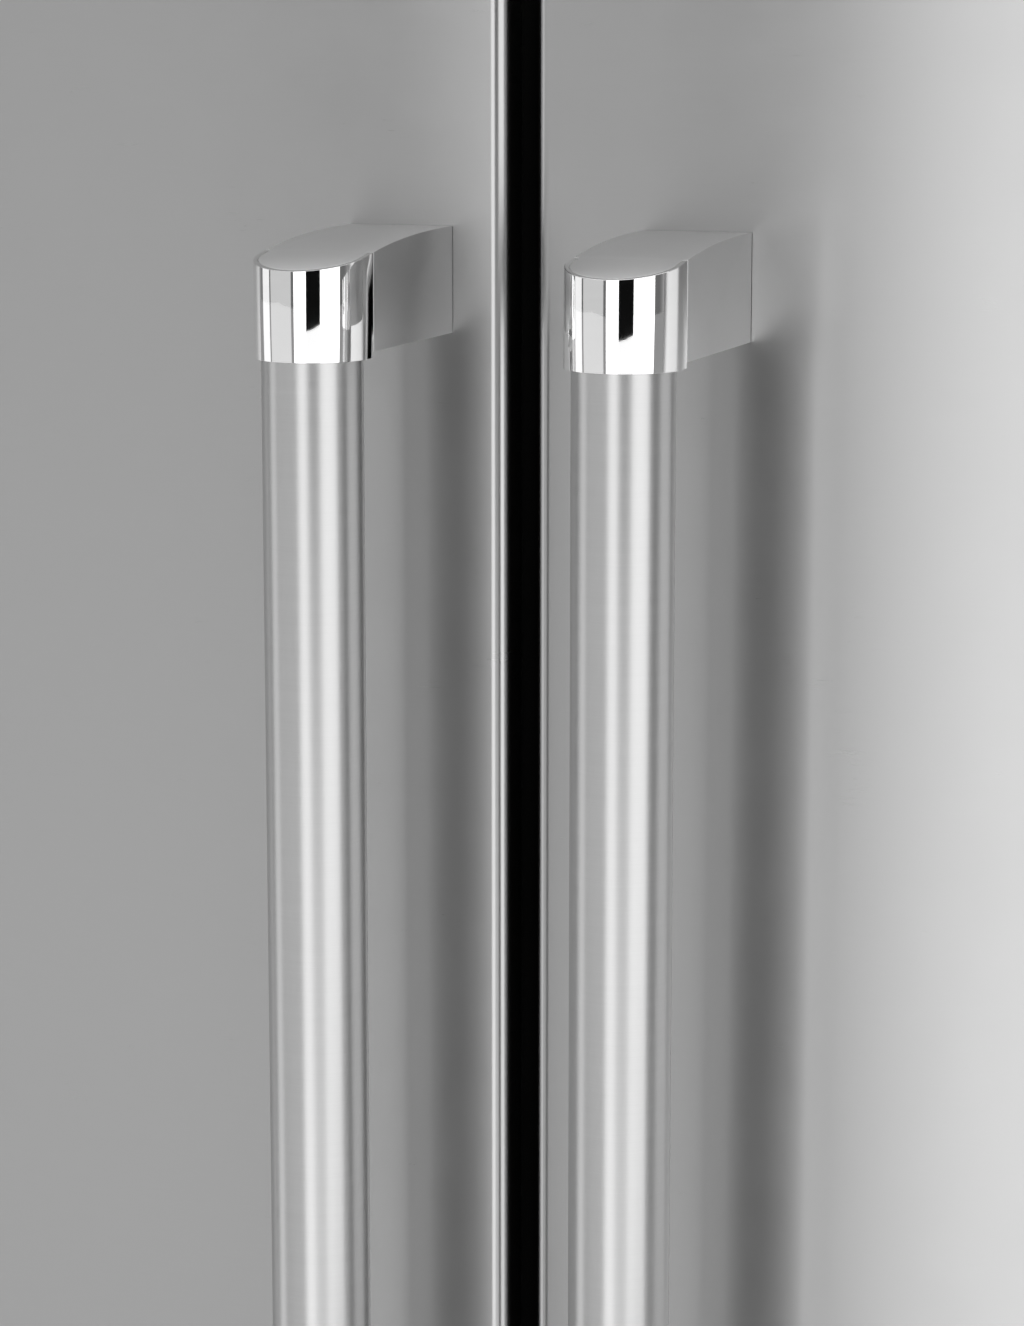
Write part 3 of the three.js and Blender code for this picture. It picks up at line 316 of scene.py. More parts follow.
@finish_of
def brushed_tube(name, axis):
    """Stainless tube with its grain running round it."""
    steel = tuple(bpy.context.scene.fridge_colours.steel)
    paint = Paint(name)
    fine, broad = {"x": ((3400, 60, 60), (420, 12, 12)), "z": ((60, 60, 3400), (12, 12, 420))}[axis]
    grain = paint.noise(paint.place(fine), 1.0, 3.0, 0.65)
    bands = paint.noise(paint.place(broad), 1.0, 2.0)
    shade = (grain - 0.5) * 0.5 + (bands - 0.5) * 0.3 + 0.5
    return paint.finish(
        Base_Color=paint.blend(shade, tinted(steel, 1.0), tinted(steel, 1.2)),
        Metallic=1.0,
        Roughness=(grain - 0.5) * 0.10 + (bands - 0.5) * 0.04 + 0.32,
        Anisotropic=0.4,
        Anisotropic_Rotation=0.25,
        Normal=paint.relief(grain * 0.8 + bands * 0.2, 0.02 * MM),
    )


@finish_of
def satin_casting(name):
    """Fine blasted and lacquered casting of the handle's brackets."""
    paint = Paint(name)
    blast = paint.noise(paint.place(), 2600.0, 2.0)
    cloud = paint.noise(paint.place(), 90.0, 3.0)
    shade = (cloud - 0.5) * 0.4 + (blast - 0.5) * 0.2 + 0.5
    return paint.finish(
        Base_Color=paint.blend(shade, (0.70, 0.70, 0.70), (0.76, 0.76, 0.76)),
        Metallic=1.0,
        Roughness=(cloud - 0.5) * 0.06 + 0.40,
        Normal=paint.relief(blast, 0.006 * MM),
    )


@finish_of
def polished_chrome(name):
    """Mirror chrome with the faintest polishing haze."""
    paint = Paint(name)
    haze = paint.noise(paint.place((1, 1, 3)), 160.0, 3.0)
    wipe = paint.noise(paint.place((60, 60, 900)), 1.0, 2.0)
    return paint.finish(
        Base_Color=paint.blend(haze, (0.90, 0.90, 0.90), (0.96, 0.96, 0.96)),
        Metallic=1.0,
        Roughness=(haze - 0.5) * 0.03 + 0.045,
        Normal=paint.relief(wipe, 0.0015 * MM),
    )


def moulded(name, colour, roughness, pebble, depth, spread):
    """A moulded plastic: slight colour drift, and a fine skin of the mould."""
    paint = Paint(name)
    skin = paint.noise(paint.place(), pebble, 3.0, 0.55)
    drift = paint.noise(paint.place(), 14.0, 2.0)
    return paint.finish(
        Base_Color=paint.blend(drift, tinted(colour, 1 - spread), tinted(colour, 1 + spread)),
        Roughness=(skin - 0.5) * 0.12 + (drift - 0.5) * 0.06 + roughness,
        Normal=paint.relief(skin, depth),
    )


@finish_of
def black_edging(name):
    """Black moulded edge of the doors."""
    return moulded(name, (0.006, 0.006, 0.006), 0.62, 1900.0, 0.012 * MM, 0.15)


@finish_of
def white_liner(name):
    """White moulded liner with a soft orange-peel skin."""
    colour = tuple(bpy.context.scene.fridge_colours.liner)
    return moulded(name, colour, 0.36, 420.0, 0.012 * MM, 0.012)


@finish_of
def dark_gasket(name):
    """Dark grey magnetic rubber of the seals and the mullion."""
    return moulded(name, (0.045, 0.046, 0.048), 0.70, 1500.0, 0.02 * MM, 0.12)


@finish_of
def black_moulding(name):
    """Black plastic of the grille, the fans and the rollers."""
    return moulded(name, (0.018, 0.018, 0.018), 0.52, 1300.0, 0.03 * MM, 0.12)


@finish_of
def stippled_paint(name):
    """Baked cabinet paint with a leather-like stipple."""
    colour = tuple(bpy.context.scene.fridge_colours.cabinet)
    paint = Paint(name)
    stipple = paint.cells(paint.place(), 520.0, "SMOOTH_F1")
    fine = paint.noise(paint.place(), 1400.0, 2.0)
    drift = paint.noise(paint.place(), 3.0, 2.0)
    shade = (drift - 0.5) * 0.6 + (stipple - 0.4) * 0.35 + 0.5
    return paint.finish(
        Base_Color=paint.blend(shade, tinted(colour, 0.86), tinted(colour, 1.14)),
        Metallic=0.15,
        Roughness=(fine - 0.5) * 0.12 + (stipple - 0.4) * 0.08 + 0.46,
        Normal=paint.relief(stipple * 0.8 + fine * 0.2, 0.05 * MM),
    )


@finish_of
def zinc_plate(name):
    """Galvanised sheet with its spangle."""
    paint = Paint(name)
    spangle = paint.cells(paint.place(), 130.0, "F1", 1)
    tone = paint.node("SeparateColor", Color=spangle)
    scuff = paint.noise(paint.place(), 60.0, 4.0, 0.65)
    shade = tone * 0.6 + scuff * 0.4
    return paint.finish(
        Base_Color=paint.blend(shade, (0.36, 0.375, 0.39), (0.60, 0.615, 0.63)),
        Metallic=0.9,
        Roughness=tone * 0.16 + (scuff - 0.5) * 0.12 + 0.34,
        Normal=paint.relief(scuff, 0.015 * MM),
    )


@finish_of
def foamed_core(name):
    """Cut polyurethane foam: fine open cells and paler skins."""
    paint = Paint(name)
    cell = paint.cells(paint.place(), 900.0)
    cloud = paint.noise(paint.place(), 40.0, 4.0, 0.6)
    return paint.finish(
        Base_Color=paint.blend(cloud * 0.6 + cell * 0.4, (0.52, 0.40, 0.18), (0.74, 0.62, 0.34)),
        Roughness=0.95 - cell * 0.1,
        Normal=paint.relief(cell * 0.6 + cloud * 0.4, 0.5 * MM),
    )


@finish_of
def grey_moulding(name):
    """Grey plastic of the hinge covers, toned to the cabinet."""
    colour = tuple(bpy.context.scene.fridge_colours.cabinet)
    return moulded(name, tinted(colour, 0.9), 0.48, 900.0, 0.03 * MM, 0.08)


@finish_of
def enamel_black(name):
    """Sprayed black enamel of the compressor, with dust and orange peel."""
    paint = Paint(name)
    peel = paint.noise(paint.place(), 260.0, 2.0)
    dust = paint.noise(paint.place(), 34.0, 5.0, 0.7).between(0.45, 0.75)
    return paint.finish(
        Base_Color=paint.blend(dust, (0.012, 0.012, 0.013), (0.075, 0.072, 0.068)),
        Roughness=dust * 0.4 + (peel - 0.5) * 0.1 + 0.24,
        Normal=paint.relief(peel, 0.05 * MM),
    )


@finish_of
def mill_aluminium(name):
    """Thin aluminium stock with mill lines and dull patches."""
    paint = Paint(name)
    lines = paint.noise(paint.place((900, 30, 30)), 1.0, 3.0)
    dull = paint.noise(paint.place(), 45.0, 4.0, 0.6)
    return paint.finish(
        Base_Color=paint.blend(dull * 0.6 + lines * 0.4, (0.52, 0.53, 0.54), (0.74, 0.75, 0.76)),
        Metallic=1.0,
        Roughness=dull * 0.22 + (lines - 0.5) * 0.1 + 0.22,
        Normal=paint.relief(lines, 0.008 * MM),
    )


def see_through(name, tint, roughness, index, flow):
    """A clear moulding: faint flow marks from the mould, and handling haze."""
    paint = Paint(name)
    flow_marks = paint.noise(paint.place((1, 1, 0.4)), flow, 2.0, 0.5, 0.6)
    haze = paint.noise(paint.place(), 26.0, 4.0, 0.6)
    return paint.finish(
        Base_Color=paint.blend(haze, tinted(tint, 0.96), tint),
        Roughness=(haze - 0.5) * 0.05 + roughness,
        Transmission_Weight=0.92,
        IOR=index,
        Normal=paint.relief(flow_marks, 0.03 * MM),
    )


@finish_of
def clear_plastic(name):
    """Clear moulding of the bins and crispers."""
    return see_through(name, (0.90, 0.935, 0.95), 0.05, 1.49, 30.0)


@finish_of
def shelf_glass(name):
    """Tempered glass of the shelves, with a faint green cast."""
    return see_through(name, (0.88, 0.95, 0.92), 0.03, 1.52, 8.0)


# ---------------------------------------------------------------- modelling helpers


def deselect():
    """Leaves edit mode and selects nothing."""
    if bpy.context.object and bpy.context.object.mode != "OBJECT":
        bpy.ops.object.mode_set(mode="OBJECT")
    bpy.ops.object.select_all(action="DESELECT")


def activate(obj):
    """Selects one object alone."""
    deselect()
    obj.select_set(True)
    bpy.context.view_layer.objects.active = obj


class Editing:
    """Edit mode on one object, with faces, edges and points picked by their place."""

    def __init__(self, obj):
        self.obj = obj

    def __enter__(self):
        activate(self.obj)
        bpy.ops.object.mode_set(mode="EDIT")
        self.faces(lambda centre, normal: True)
        return self

    def __exit__(self, *error):
        bpy.ops.object.mode_set(mode="OBJECT")

    def _pick(self, kind, layer, test):
        bpy.ops.mesh.select_mode(type=kind)
        bpy.ops.mesh.select_all(action="DESELECT")
        mesh = bmesh.from_edit_mesh(self.obj.data)
        for part in getattr(mesh, layer):
            if test(part):
                part.select_set(True)
        mesh.select_flush_mode()
        bmesh.update_edit_mesh(self.obj.data)

    def faces(self, test):
        """Picks faces by their centre and normal."""
        self._pick("FACE", "faces", lambda f: test(f.calc_center_median(), f.normal))

    def edges(self, test):
        """Picks edges by their two ends."""
        self._pick("EDGE", "edges", lambda e: test(e.verts[0].co, e.verts[1].co))

    def rims(self, test):
        """Picks open edges by their two ends."""
        self._pick(
            "EDGE", "edges", lambda e: e.is_boundary and test(e.verts[0].co, e.verts[1].co)
        )

    def points(self, test):
        """Picks points by their place."""
        self._pick("VERT", "verts", lambda v: test(v.co))

    def cut(self, axis, value, keep=0):
        """Cuts the whole mesh by a plane across an axis; keep -1 or 1 keeps only that side."""
        bpy.ops.mesh.select_all(action="SELECT")
        place, normal = Vector((0, 0, 0)), Vector((0, 0, 0))
        place[axis], normal[axis] = value, 1
        bpy.ops.mesh.bisect(
            plane_co=place,
            plane_no=normal,
            clear_outer=keep < 0,
            clear_inner=keep > 0,
            threshold=TOUCH,
        )

    def extrude(self, move):
        bpy.ops.mesh.extrude_region_move(TRANSFORM_OT_translate={"value": Vector(move)})

    def extrude_edges(self, move):
        bpy.ops.mesh.extrude_edges_move(TRANSFORM_OT_translate={"value": Vector(move)})

    def move(self, by):
        bpy.ops.transform.translate(value=Vector(by))

    def scale(self, factors, centre):
        bpy.ops.transform.resize(value=factors, center_override=Vector(centre))

    def inset(self, thickness):
        bpy.ops.mesh.inset(thickness=thickness, depth=0.0)

    def bevel(self, width, segments):
        bpy.ops.mesh.bevel(offset=width, segments=segments, profile=0.5, affect="EDGES")

    def delete(self, kind="FACE"):
        bpy.ops.mesh.delete(type=kind)

    def outward(self):
        """Turns all faces outwards."""
        bpy.ops.mesh.select_all(action="SELECT")
        bpy.ops.mesh.normals_make_consistent(inside=False)


def named(obj, name):
    """Names a new object, and applies its place, turn and scale to its mesh."""
    obj.name = name
    obj.data.name = name
    bpy.ops.object.transform_apply(location=True, rotation=True, scale=True)
    return obj


def block(name, low, high):
    """A box between two corners."""
    deselect()
    low, high = Vector(low), Vector(high)
    bpy.ops.mesh.primitive_cube_add(size=1, location=(low + high) / 2)
    bpy.context.object.scale = high - low
    return named(bpy.context.object, name)


def rod(name, radius, start, end, sides=48, ends="NGON"):
    """A round bar between two points."""
    deselect()
    start, end = Vector(start), Vector(end)
    bpy.ops.mesh.primitive_cylinder_add(
        vertices=sides,
        radius=radius,
        depth=(end - start).length,
        location=(start + end) / 2,
        end_fill_type=ends,
    )
    bpy.context.object.rotation_euler = (end - start).to_track_quat("Z", "X").to_euler()
    return named(bpy.context.object, name)


def apply_modifier(obj, name, kind, **settings):
    """Adds a modifier and applies it at once."""
    activate(obj)
    modifier = obj.modifiers.new(name, kind)
    for key, value in settings.items():
        setattr(modifier, key, value)
    bpy.ops.object.modifier_apply(modifier=modifier.name)


def round_edges(obj, width, segments=3, angle=30):
    """Rounds every edge that turns by more than an angle in degrees."""
    apply_modifier(
        obj,
        "rounding",
        "BEVEL",
        width=width,
        segments=segments,
        limit_method="ANGLE",
        angle_limit=math.radians(angle),
        harden_normals=False,
        use_clamp_overlap=True,
    )


def thicken(obj, thickness):
    """Gives a sheet its wall, inwards."""
    apply_modifier(obj, "wall", "SOLIDIFY", thickness=thickness, offset=-1.0, use_even_offset=True)


def carve(obj, cutter):
    """Cuts the cutter's shape out of an object, and removes the cutter."""
    apply_modifier(obj, "opening", "BOOLEAN", operation="DIFFERENCE", object=cutter, solver="EXACT")
    bpy.data.objects.remove(cutter)


def joined(name, objects):
    """Joins objects into the first one."""
    deselect()
    for obj in objects:
        obj.select_set(True)
    bpy.context.view_layer.objects.active = objects[0]
    if len(objects) > 1:
        bpy.ops.object.join()
    objects[0].name = name
    objects[0].data.name = name
    return objects[0]


def copied(obj, name, matrix):
    """A copy with its own mesh, placed by a matrix."""
    twin = obj.copy()
    twin.data = obj.data.copy()
    bpy.context.scene.collection.objects.link(twin)
    twin.matrix_world = matrix @ obj.matrix_world
    activate(twin)
    return named(twin, name)


def done(obj, body, material, replaces=(), angle=35):
    """Smooths a finished piece, gives it its finish and hands it to its body."""
    activate(obj)
    bpy.ops.object.shade_smooth_by_angle(angle=math.radians(angle))
    obj.data.materials.clear()
    obj.data.materials.append(material)
    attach(obj, body)
    if replaces:
        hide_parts(*replaces)
    return obj


def merged_copy(node):
    """A copy of a CAD node as one merged mesh, with its flat faces whole."""
    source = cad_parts[node]
    mesh = source.data.copy()
    twin = bpy.data.objects.new(node + "_part", mesh)
    mesh.name = twin.name
    bpy.context.scene.collection.objects.link(twin)
    twin.matrix_world = source.matrix_world
    with Editing(twin):
        bpy.ops.mesh.select_all(action="SELECT")
        bpy.ops.mesh.remove_doubles(threshold=0.01 * MM)
        bpy.ops.mesh.dissolve_limited(angle_limit=math.radians(0.5))
    activate(twin)
    bpy.ops.mesh.customdata_custom_splitnormals_clear()
    return twin


def refined(node, body, material, width=0.6 * MM, segments=2, angle=35):
    """A merged copy of a CAD node whose shape is right, with its edges softened."""
    twin = merged_copy(node)
    if width:
        round_edges(twin, width, segments, angle)
    return done(twin, body, material, (node,), angle)


def centre_of(node):
    """The middle of a CAD node's box."""
    low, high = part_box(node)
    return (low + high) / 2


# ---------------------------------------------------------------- the frame's own sizes

FACE_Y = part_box("left_door_skin")[0].y
BAR_Y = centre_of("left_handle_bar").y
BAR_RADIUS = (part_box("left_handle_bar")[1].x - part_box("left_handle_bar")[0].x) / 2
BAND_LOW, BAND_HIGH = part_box("right_handle_upper_band")
BAND_RADIUS = (BAND_HIGH.x - BAND_LOW.x) / 2
BAND_BACK = BAND_HIGH.y - BAR_Y
REACH = FACE_Y - BAR_Y
ARM_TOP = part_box("right_handle_upper_bracket")[1].z
ARM_CURVE = 2.5  # how strongly a handle end's outer face levels out towards the door
ARM_CLIMB = (ARM_TOP - BAND_HIGH.z) * ((REACH + BAND_RADIUS) / (REACH - BAND_BACK)) ** ARM_CURVE
BAND_DEPTH = ARM_TOP - BAND_LOW.z
SET_SCREW_RADIUS = 0.8 * MM
SET_SCREW_UP = 9.2 * MM  # from the band's lower rim
SET_SCREW_TURN = {"left": 0, "right": 45, "drawer": 45}  # degrees from the side towards the front


# ---------------------------------------------------------------- operators: handles


def drop_at(y):
    """How far the outer face of a handle's end is below its height at the door."""
    return ARM_CLIMB * ((REACH - y) / (REACH + BAND_RADIUS)) ** ARM_CURVE


def space_above():
    """The space past a handle end's outer face, which climbs from its front and levels out."""
    margin, height, steps = 5 * MM, 30 * MM, 24
    y = -BAND_RADIUS
    deselect()
    bpy.ops.mesh.primitive_plane_add(size=1, location=(0, y - margin / 2, -ARM_CLIMB))
    bpy.context.object.scale = (4 * BAND_RADIUS, margin, 1)
    space = named(bpy.context.object, "space")
    with Editing(space) as edit:
        for step in range(1, steps + 1):
            further = -BAND_RADIUS + (REACH + BAND_RADIUS) * step / steps
            edit.rims(lambda a, b: min(a.y, b.y) > y - TOUCH)
            edit.extrude_edges((0, further - y, drop_at(y) - drop_at(further)))
            y = further
        bpy.ops.mesh.select_all(action="SELECT")
        edit.extrude((0, 0, height))
        edit.outward()
    return space


def handle_bracket(sizes):
    """The bracket at an upright handle's top, a nose and an arm; z = 0 is its height at the door."""
    skirt, seam, step, door_gap = 1.5 * MM, 0.1 * MM, 0.05 * MM, 0.3 * MM
    nose = BAND_RADIUS - sizes.band_wall - seam
    deselect()
    bpy.ops.mesh.primitive_circle_add(vertices=sizes.sides, radius=nose, fill_type="NGON")
    arm = named(bpy.context.object, "bracket")
    with Editing(arm) as edit:
        edit.cut(1, 0.0, keep=-1)
        edit.rims(lambda a, b: abs(a.y) < TOUCH and abs(b.y) < TOUCH)
        edit.extrude_edges((0, BAND_BACK + seam, 0))
        edit.rims(lambda a, b: a.y > BAND_BACK and b.y > BAND_BACK)
        edit.extrude_edges((0, step, 0))
        edit.scale((BAND_RADIUS / nose, 1, 1), (0, 0, 0))
        edit.rims(lambda a, b: min(a.y, b.y) > BAND_BACK + seam + step / 2)
        edit.extrude_edges((0, REACH - door_gap - BAND_BACK - seam - step, 0))
        bpy.ops.mesh.select_all(action="SELECT")
        edit.extrude((0, 0, skirt - BAND_DEPTH))
        edit.outward()
    carve(arm, space_above())
    round_edges(arm, sizes.edge_round, 4, 30)
    return arm


def handle_band(sizes, screw_side, screw_turn):
    """The polished band round a nose, open at the back, with its set screw's hole."""
    band = rod("band", BAND_RADIUS, (0, 0, -BAND_DEPTH), (0, 0, 0), sizes.sides, "NOTHING")
    with Editing(band) as edit:
        edit.cut(1, 0.0, keep=-1)
        edit.rims(lambda a, b: abs(a.y) < TOUCH and abs(b.y) < TOUCH and abs(a.z - b.z) > 1 * MM)
        edit.extrude_edges((0, BAND_BACK, 0))
        edit.outward()
    front = min(band.data.polygons, key=lambda p: p.center.y)
    if front.normal.y > 0:
        with Editing(band):
            bpy.ops.mesh.select_all(action="SELECT")
            bpy.ops.mesh.flip_normals()
    thicken(band, sizes.band_wall)
    carve(band, space_above())
    turn = math.radians(screw_turn)
    way = Vector((screw_side * math.cos(turn), -math.sin(turn), 0))
    place = Vector((0, 0, SET_SCREW_UP - BAND_DEPTH))
    outer, inner = place + way * (BAND_RADIUS + 2 * MM), place + way * (BAND_RADIUS - 4 * MM)
    carve(band, rod("hole", SET_SCREW_RADIUS, outer, inner, 20))
    round_edges(band, sizes.band_round, 4, 40)
    return band


def handle_places():
    """For each bracket: its name, the body, its matrix, and its set screw's side and turn."""
    for word in SIDES:
        for end, screw_side in (("upper", -1), ("lower", 1)):
            low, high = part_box(f"{word}_handle_{end}_bracket")
            place = Vector(((low.x + high.x) / 2, BAR_Y, high.z if end == "upper" else low.z))
            turn = Matrix.Identity(4) if end == "upper" else Matrix.Rotation(math.pi, 4, "Y")
            screw = (screw_side, SET_SCREW_TURN[word])
            yield f"{word}_handle_{end}", DOORS[word], Matrix.Translation(place) @ turn, screw
    for end, side in (("left", -1), ("right", 1)):
        low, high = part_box(f"drawer_handle_{end}_bracket")
        place = Vector((low.x if side < 0 else high.x, BAR_Y, (low.z + high.z) / 2))
        turn = Matrix.Rotation(side * math.pi / 2, 4, "Y")
        screw = (-side, SET_SCREW_TURN["drawer"])
        yield f"drawer_handle_{end}", DOORS["drawer"], Matrix.Translation(place) @ turn, screw


class FRIDGE_OT_handles(bpy.types.Operator):
    """Builds the three bar handles with their brackets and polished bands"""

    bl_idname = "fridge.handles"
    bl_label = "Handles"

    def execute(self, context):
        sizes = context.scene.fridge_handle
        bracket = handle_bracket(sizes)
        bands = {}
        for name, body, matrix, screw in handle_places():
            if screw not in bands:
                bands[screw] = handle_band(sizes, *screw)
            piece = copied(bracket, name + "_arm", matrix)
            done(piece, body, satin_casting(), (name + "_bracket",), 40)
            piece = copied(bands[screw], name + "_ring", matrix)
            done(piece, body, polished_chrome(), (name + "_band",), 40)
        bpy.data.objects.remove(bracket)
        for band in bands.values():
            bpy.data.objects.remove(band)
        for word, body in DOORS.items():
            node = f"{word}_handle_bar"
            low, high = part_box(node)
            middle = (low + high) / 2
            start, end = middle.copy(), middle.copy()
            axis = "x" if word == "drawer" else "z"
            setattr(start, axis, getattr(low, axis))
            setattr(end, axis, getattr(high, axis))
            bar = rod(f"{word}_handle_tube", BAR_RADIUS, start, end, sizes.sides, "NOTHING")
            thicken(bar, sizes.bar_wall)
            done(bar, body, brushed_tube(axis), (node,), 40)
        return {"FINISHED"}


# ---------------------------------------------------------------- operators: doors


class FRIDGE_OT_skins(bpy.types.Operator):
    """Builds the folded stainless skins of the doors and the drawer"""

    bl_idname = "fridge.skins"
    bl_label = "Door skins"

    def execute(self, context):
        sizes = context.scene.fridge_door
        for word, body in DOORS.items():
            node = "drawer_skin" if word == "drawer" else f"{word}_door_skin"
            low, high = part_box(node)
            skin = block(f"{word}_skin_sheet", low, high)
            with Editing(skin) as edit:
                edit.faces(lambda centre, normal: normal.y > 0.5 or abs(normal.z) > 0.5)
                edit.delete()
                edit.edges(lambda a, b: abs(a.z - b.z) > 0.1 and max(a.y, b.y) < low.y + 1 * MM)
                edit.bevel(sizes.bend, 8)
            thicken(skin, sizes.sheet)
            done(skin, body, brushed_sheet(), (node,), 40)
        return {"FINISHED"}


def open_tray(name, low, high, corner, wall, floor_round):
    """An open-topped tray with rounded upright corners and a rolled top edge."""
    tray = block(name, low, high)
    with Editing(tray) as edit:
        edit.faces(lambda centre, normal: normal.z > 0.5)
        edit.delete("ONLY_FACE")
        edit.edges(lambda a, b: abs(a.z - b.z) > 1 * MM)
        edit.bevel(corner, 6)
        edit.edges(lambda a, b: max(a.z, b.z) < low[2] + 0.01 * MM)
        edit.bevel(floor_round, 3)
        edit.outward()
    thicken(tray, wall)
    round_edges(tray, wall * 0.3, 2, 50)
    return tray


def rounded_block(name, low, high, width, segments=3):
    """A box between two corners, with rounded edges."""
    solid = block(name, low, high)
    round_edges(solid, width, segments)
    return solid


class FRIDGE_OT_cores(bpy.types.Operator):
    """Builds the doors' black edges with their white moulded liners, and the gaskets"""

    bl_idname = "fridge.cores"
    bl_label = "Door liners and gaskets"

    def execute(self, context):
        sizes = context.scene.fridge_door
        for word, body in DOORS.items():
            prefix = "drawer" if word == "drawer" else f"{word}_door"
            self.core(prefix, body, sizes)
            self.gasket(prefix, body)
        return {"FINISHED"}

    def core(self, prefix, body, sizes):
        """The black edge, with the white liner from a little outside the gasket inwards."""
        gasket_low, gasket_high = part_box(f"{prefix}_gasket")
        core = merged_copy(f"{prefix}_liner")
        edge = 5 * MM
        with Editing(core) as edit:
            for axis, value in (
                (0, gasket_low.x - edge),
                (0, gasket_high.x + edge),
                (2, gasket_low.z - edge),
                (2, gasket_high.z + edge),
            ):
                edit.cut(axis, value)
        back = gasket_low.y - 0.5 * MM
        with Editing(core) as edit:
            edit.edges(
                lambda a, b: min(a.y, b.y) > back - 1 * MM
                and min(a.x, b.x) > gasket_low.x
                and max(a.x, b.x) < gasket_high.x
            )
            edit.bevel(sizes.liner_round, 4)
        round_edges(core, 0.6 * MM, 2, 50)
        done(core, body, black_edging(), (f"{prefix}_liner",), 40)
        core.data.materials.append(white_liner())
        for face in core.data.polygons:
            place = face.center
            inside_x = gasket_low.x - edge < place.x < gasket_high.x + edge
            inside_z = gasket_low.z - edge < place.z < gasket_high.z + edge
            if place.y > back and inside_x and inside_z:
                face.material_index = 1

    def gasket(self, prefix, body):
        """The seal, with a waist all round its outer side."""
        node = f"{prefix}_gasket"
        seal = merged_copy(node)
        low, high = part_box(node)
        depth = high.y - low.y
        centre = (low + high) / 2
        half = (high - low) / 2
        waist = 1.5 * MM
        with Editing(seal) as edit:
            for share in (0.3, 0.5, 0.7):
                edit.cut(1, low.y + depth * share)
            edit.points(
                lambda p: abs(p.y - centre.y) < 0.01 * MM
                and (
                    abs(p.x - centre.x) > half.x - 1 * MM or abs(p.z - centre.z) > half.z - 1 * MM
                )
            )
            edit.scale((1 - waist / half.x, 1, 1 - waist / half.z), centre)
        round_edges(seal, 1.2 * MM, 3, 25)
        done(seal, body, dark_gasket(), (node,), 40)


class FRIDGE_OT_cabinet(bpy.types.Operator):
    """Refines the cabinet's sheet metal, foam, liner, frame and grille"""

    bl_idname = "fridge.cabinet"
    bl_label = "Cabinet"

    def execute(self, context):
        refined("cabinet_wrapper", "cabinet", stippled_paint(), 0.3 * MM)
        refined("cabinet_foam", "cabinet", foamed_core(), 0)
        refined("inner_liner", "cabinet", white_liner(), 0.8 * MM)
        refined("rear_panel", "cabinet", zinc_plate(), 0.2 * MM)
        refined("machine_cover", "cabinet", zinc_plate(), 0.2 * MM)
        refined("base_frame", "cabinet", zinc_plate(), 0.5 * MM)
        refined("toe_grille", "cabinet", black_moulding(), 0.8 * MM)
        for word in SIDES:
            refined(f"{word}_top_hinge", "cabinet", zinc_plate(), 0.6 * MM)
            refined(f"{word}_centre_hinge", "cabinet", zinc_plate(), 0.6 * MM)
            refined(f"{word}_hinge_cover", "cabinet", grey_moulding(), 0.9 * MM, 3)
        return {"FINISHED"}


class FRIDGE_OT_machinery(bpy.types.Operator):
    """Refines the compressor, the condenser, the evaporator and both fans"""

    bl_idname = "fridge.machinery"
    bl_label = "Machinery"

    def execute(self, context):
        refined("compressor", "cabinet", enamel_black(), 1.2 * MM, 3)
        refined("condenser", "cabinet", mill_aluminium(), 0.2 * MM)
        refined("evaporator_module", "cabinet", white_liner(), 0.4 * MM)
        for fan in ("condenser_fan", "evaporator_fan"):
            refined(fan, fan, black_moulding(), 0.3 * MM)
        return {"FINISHED"}


class FRIDGE_OT_feet(bpy.types.Operator):
    """Refines the rear rollers and the levelling legs"""

    bl_idname = "fridge.feet"
    bl_label = "Rollers and legs"

    def execute(self, context):
        for word in SIDES:
            roller, leg = f"{word}_rear_roller", f"{word}_levelling_leg"
            refined(roller, roller, black_moulding(), 1.2 * MM, 3)
            refined(leg, leg, zinc_plate(), 0.5 * MM)
        return {"FINISHED"}


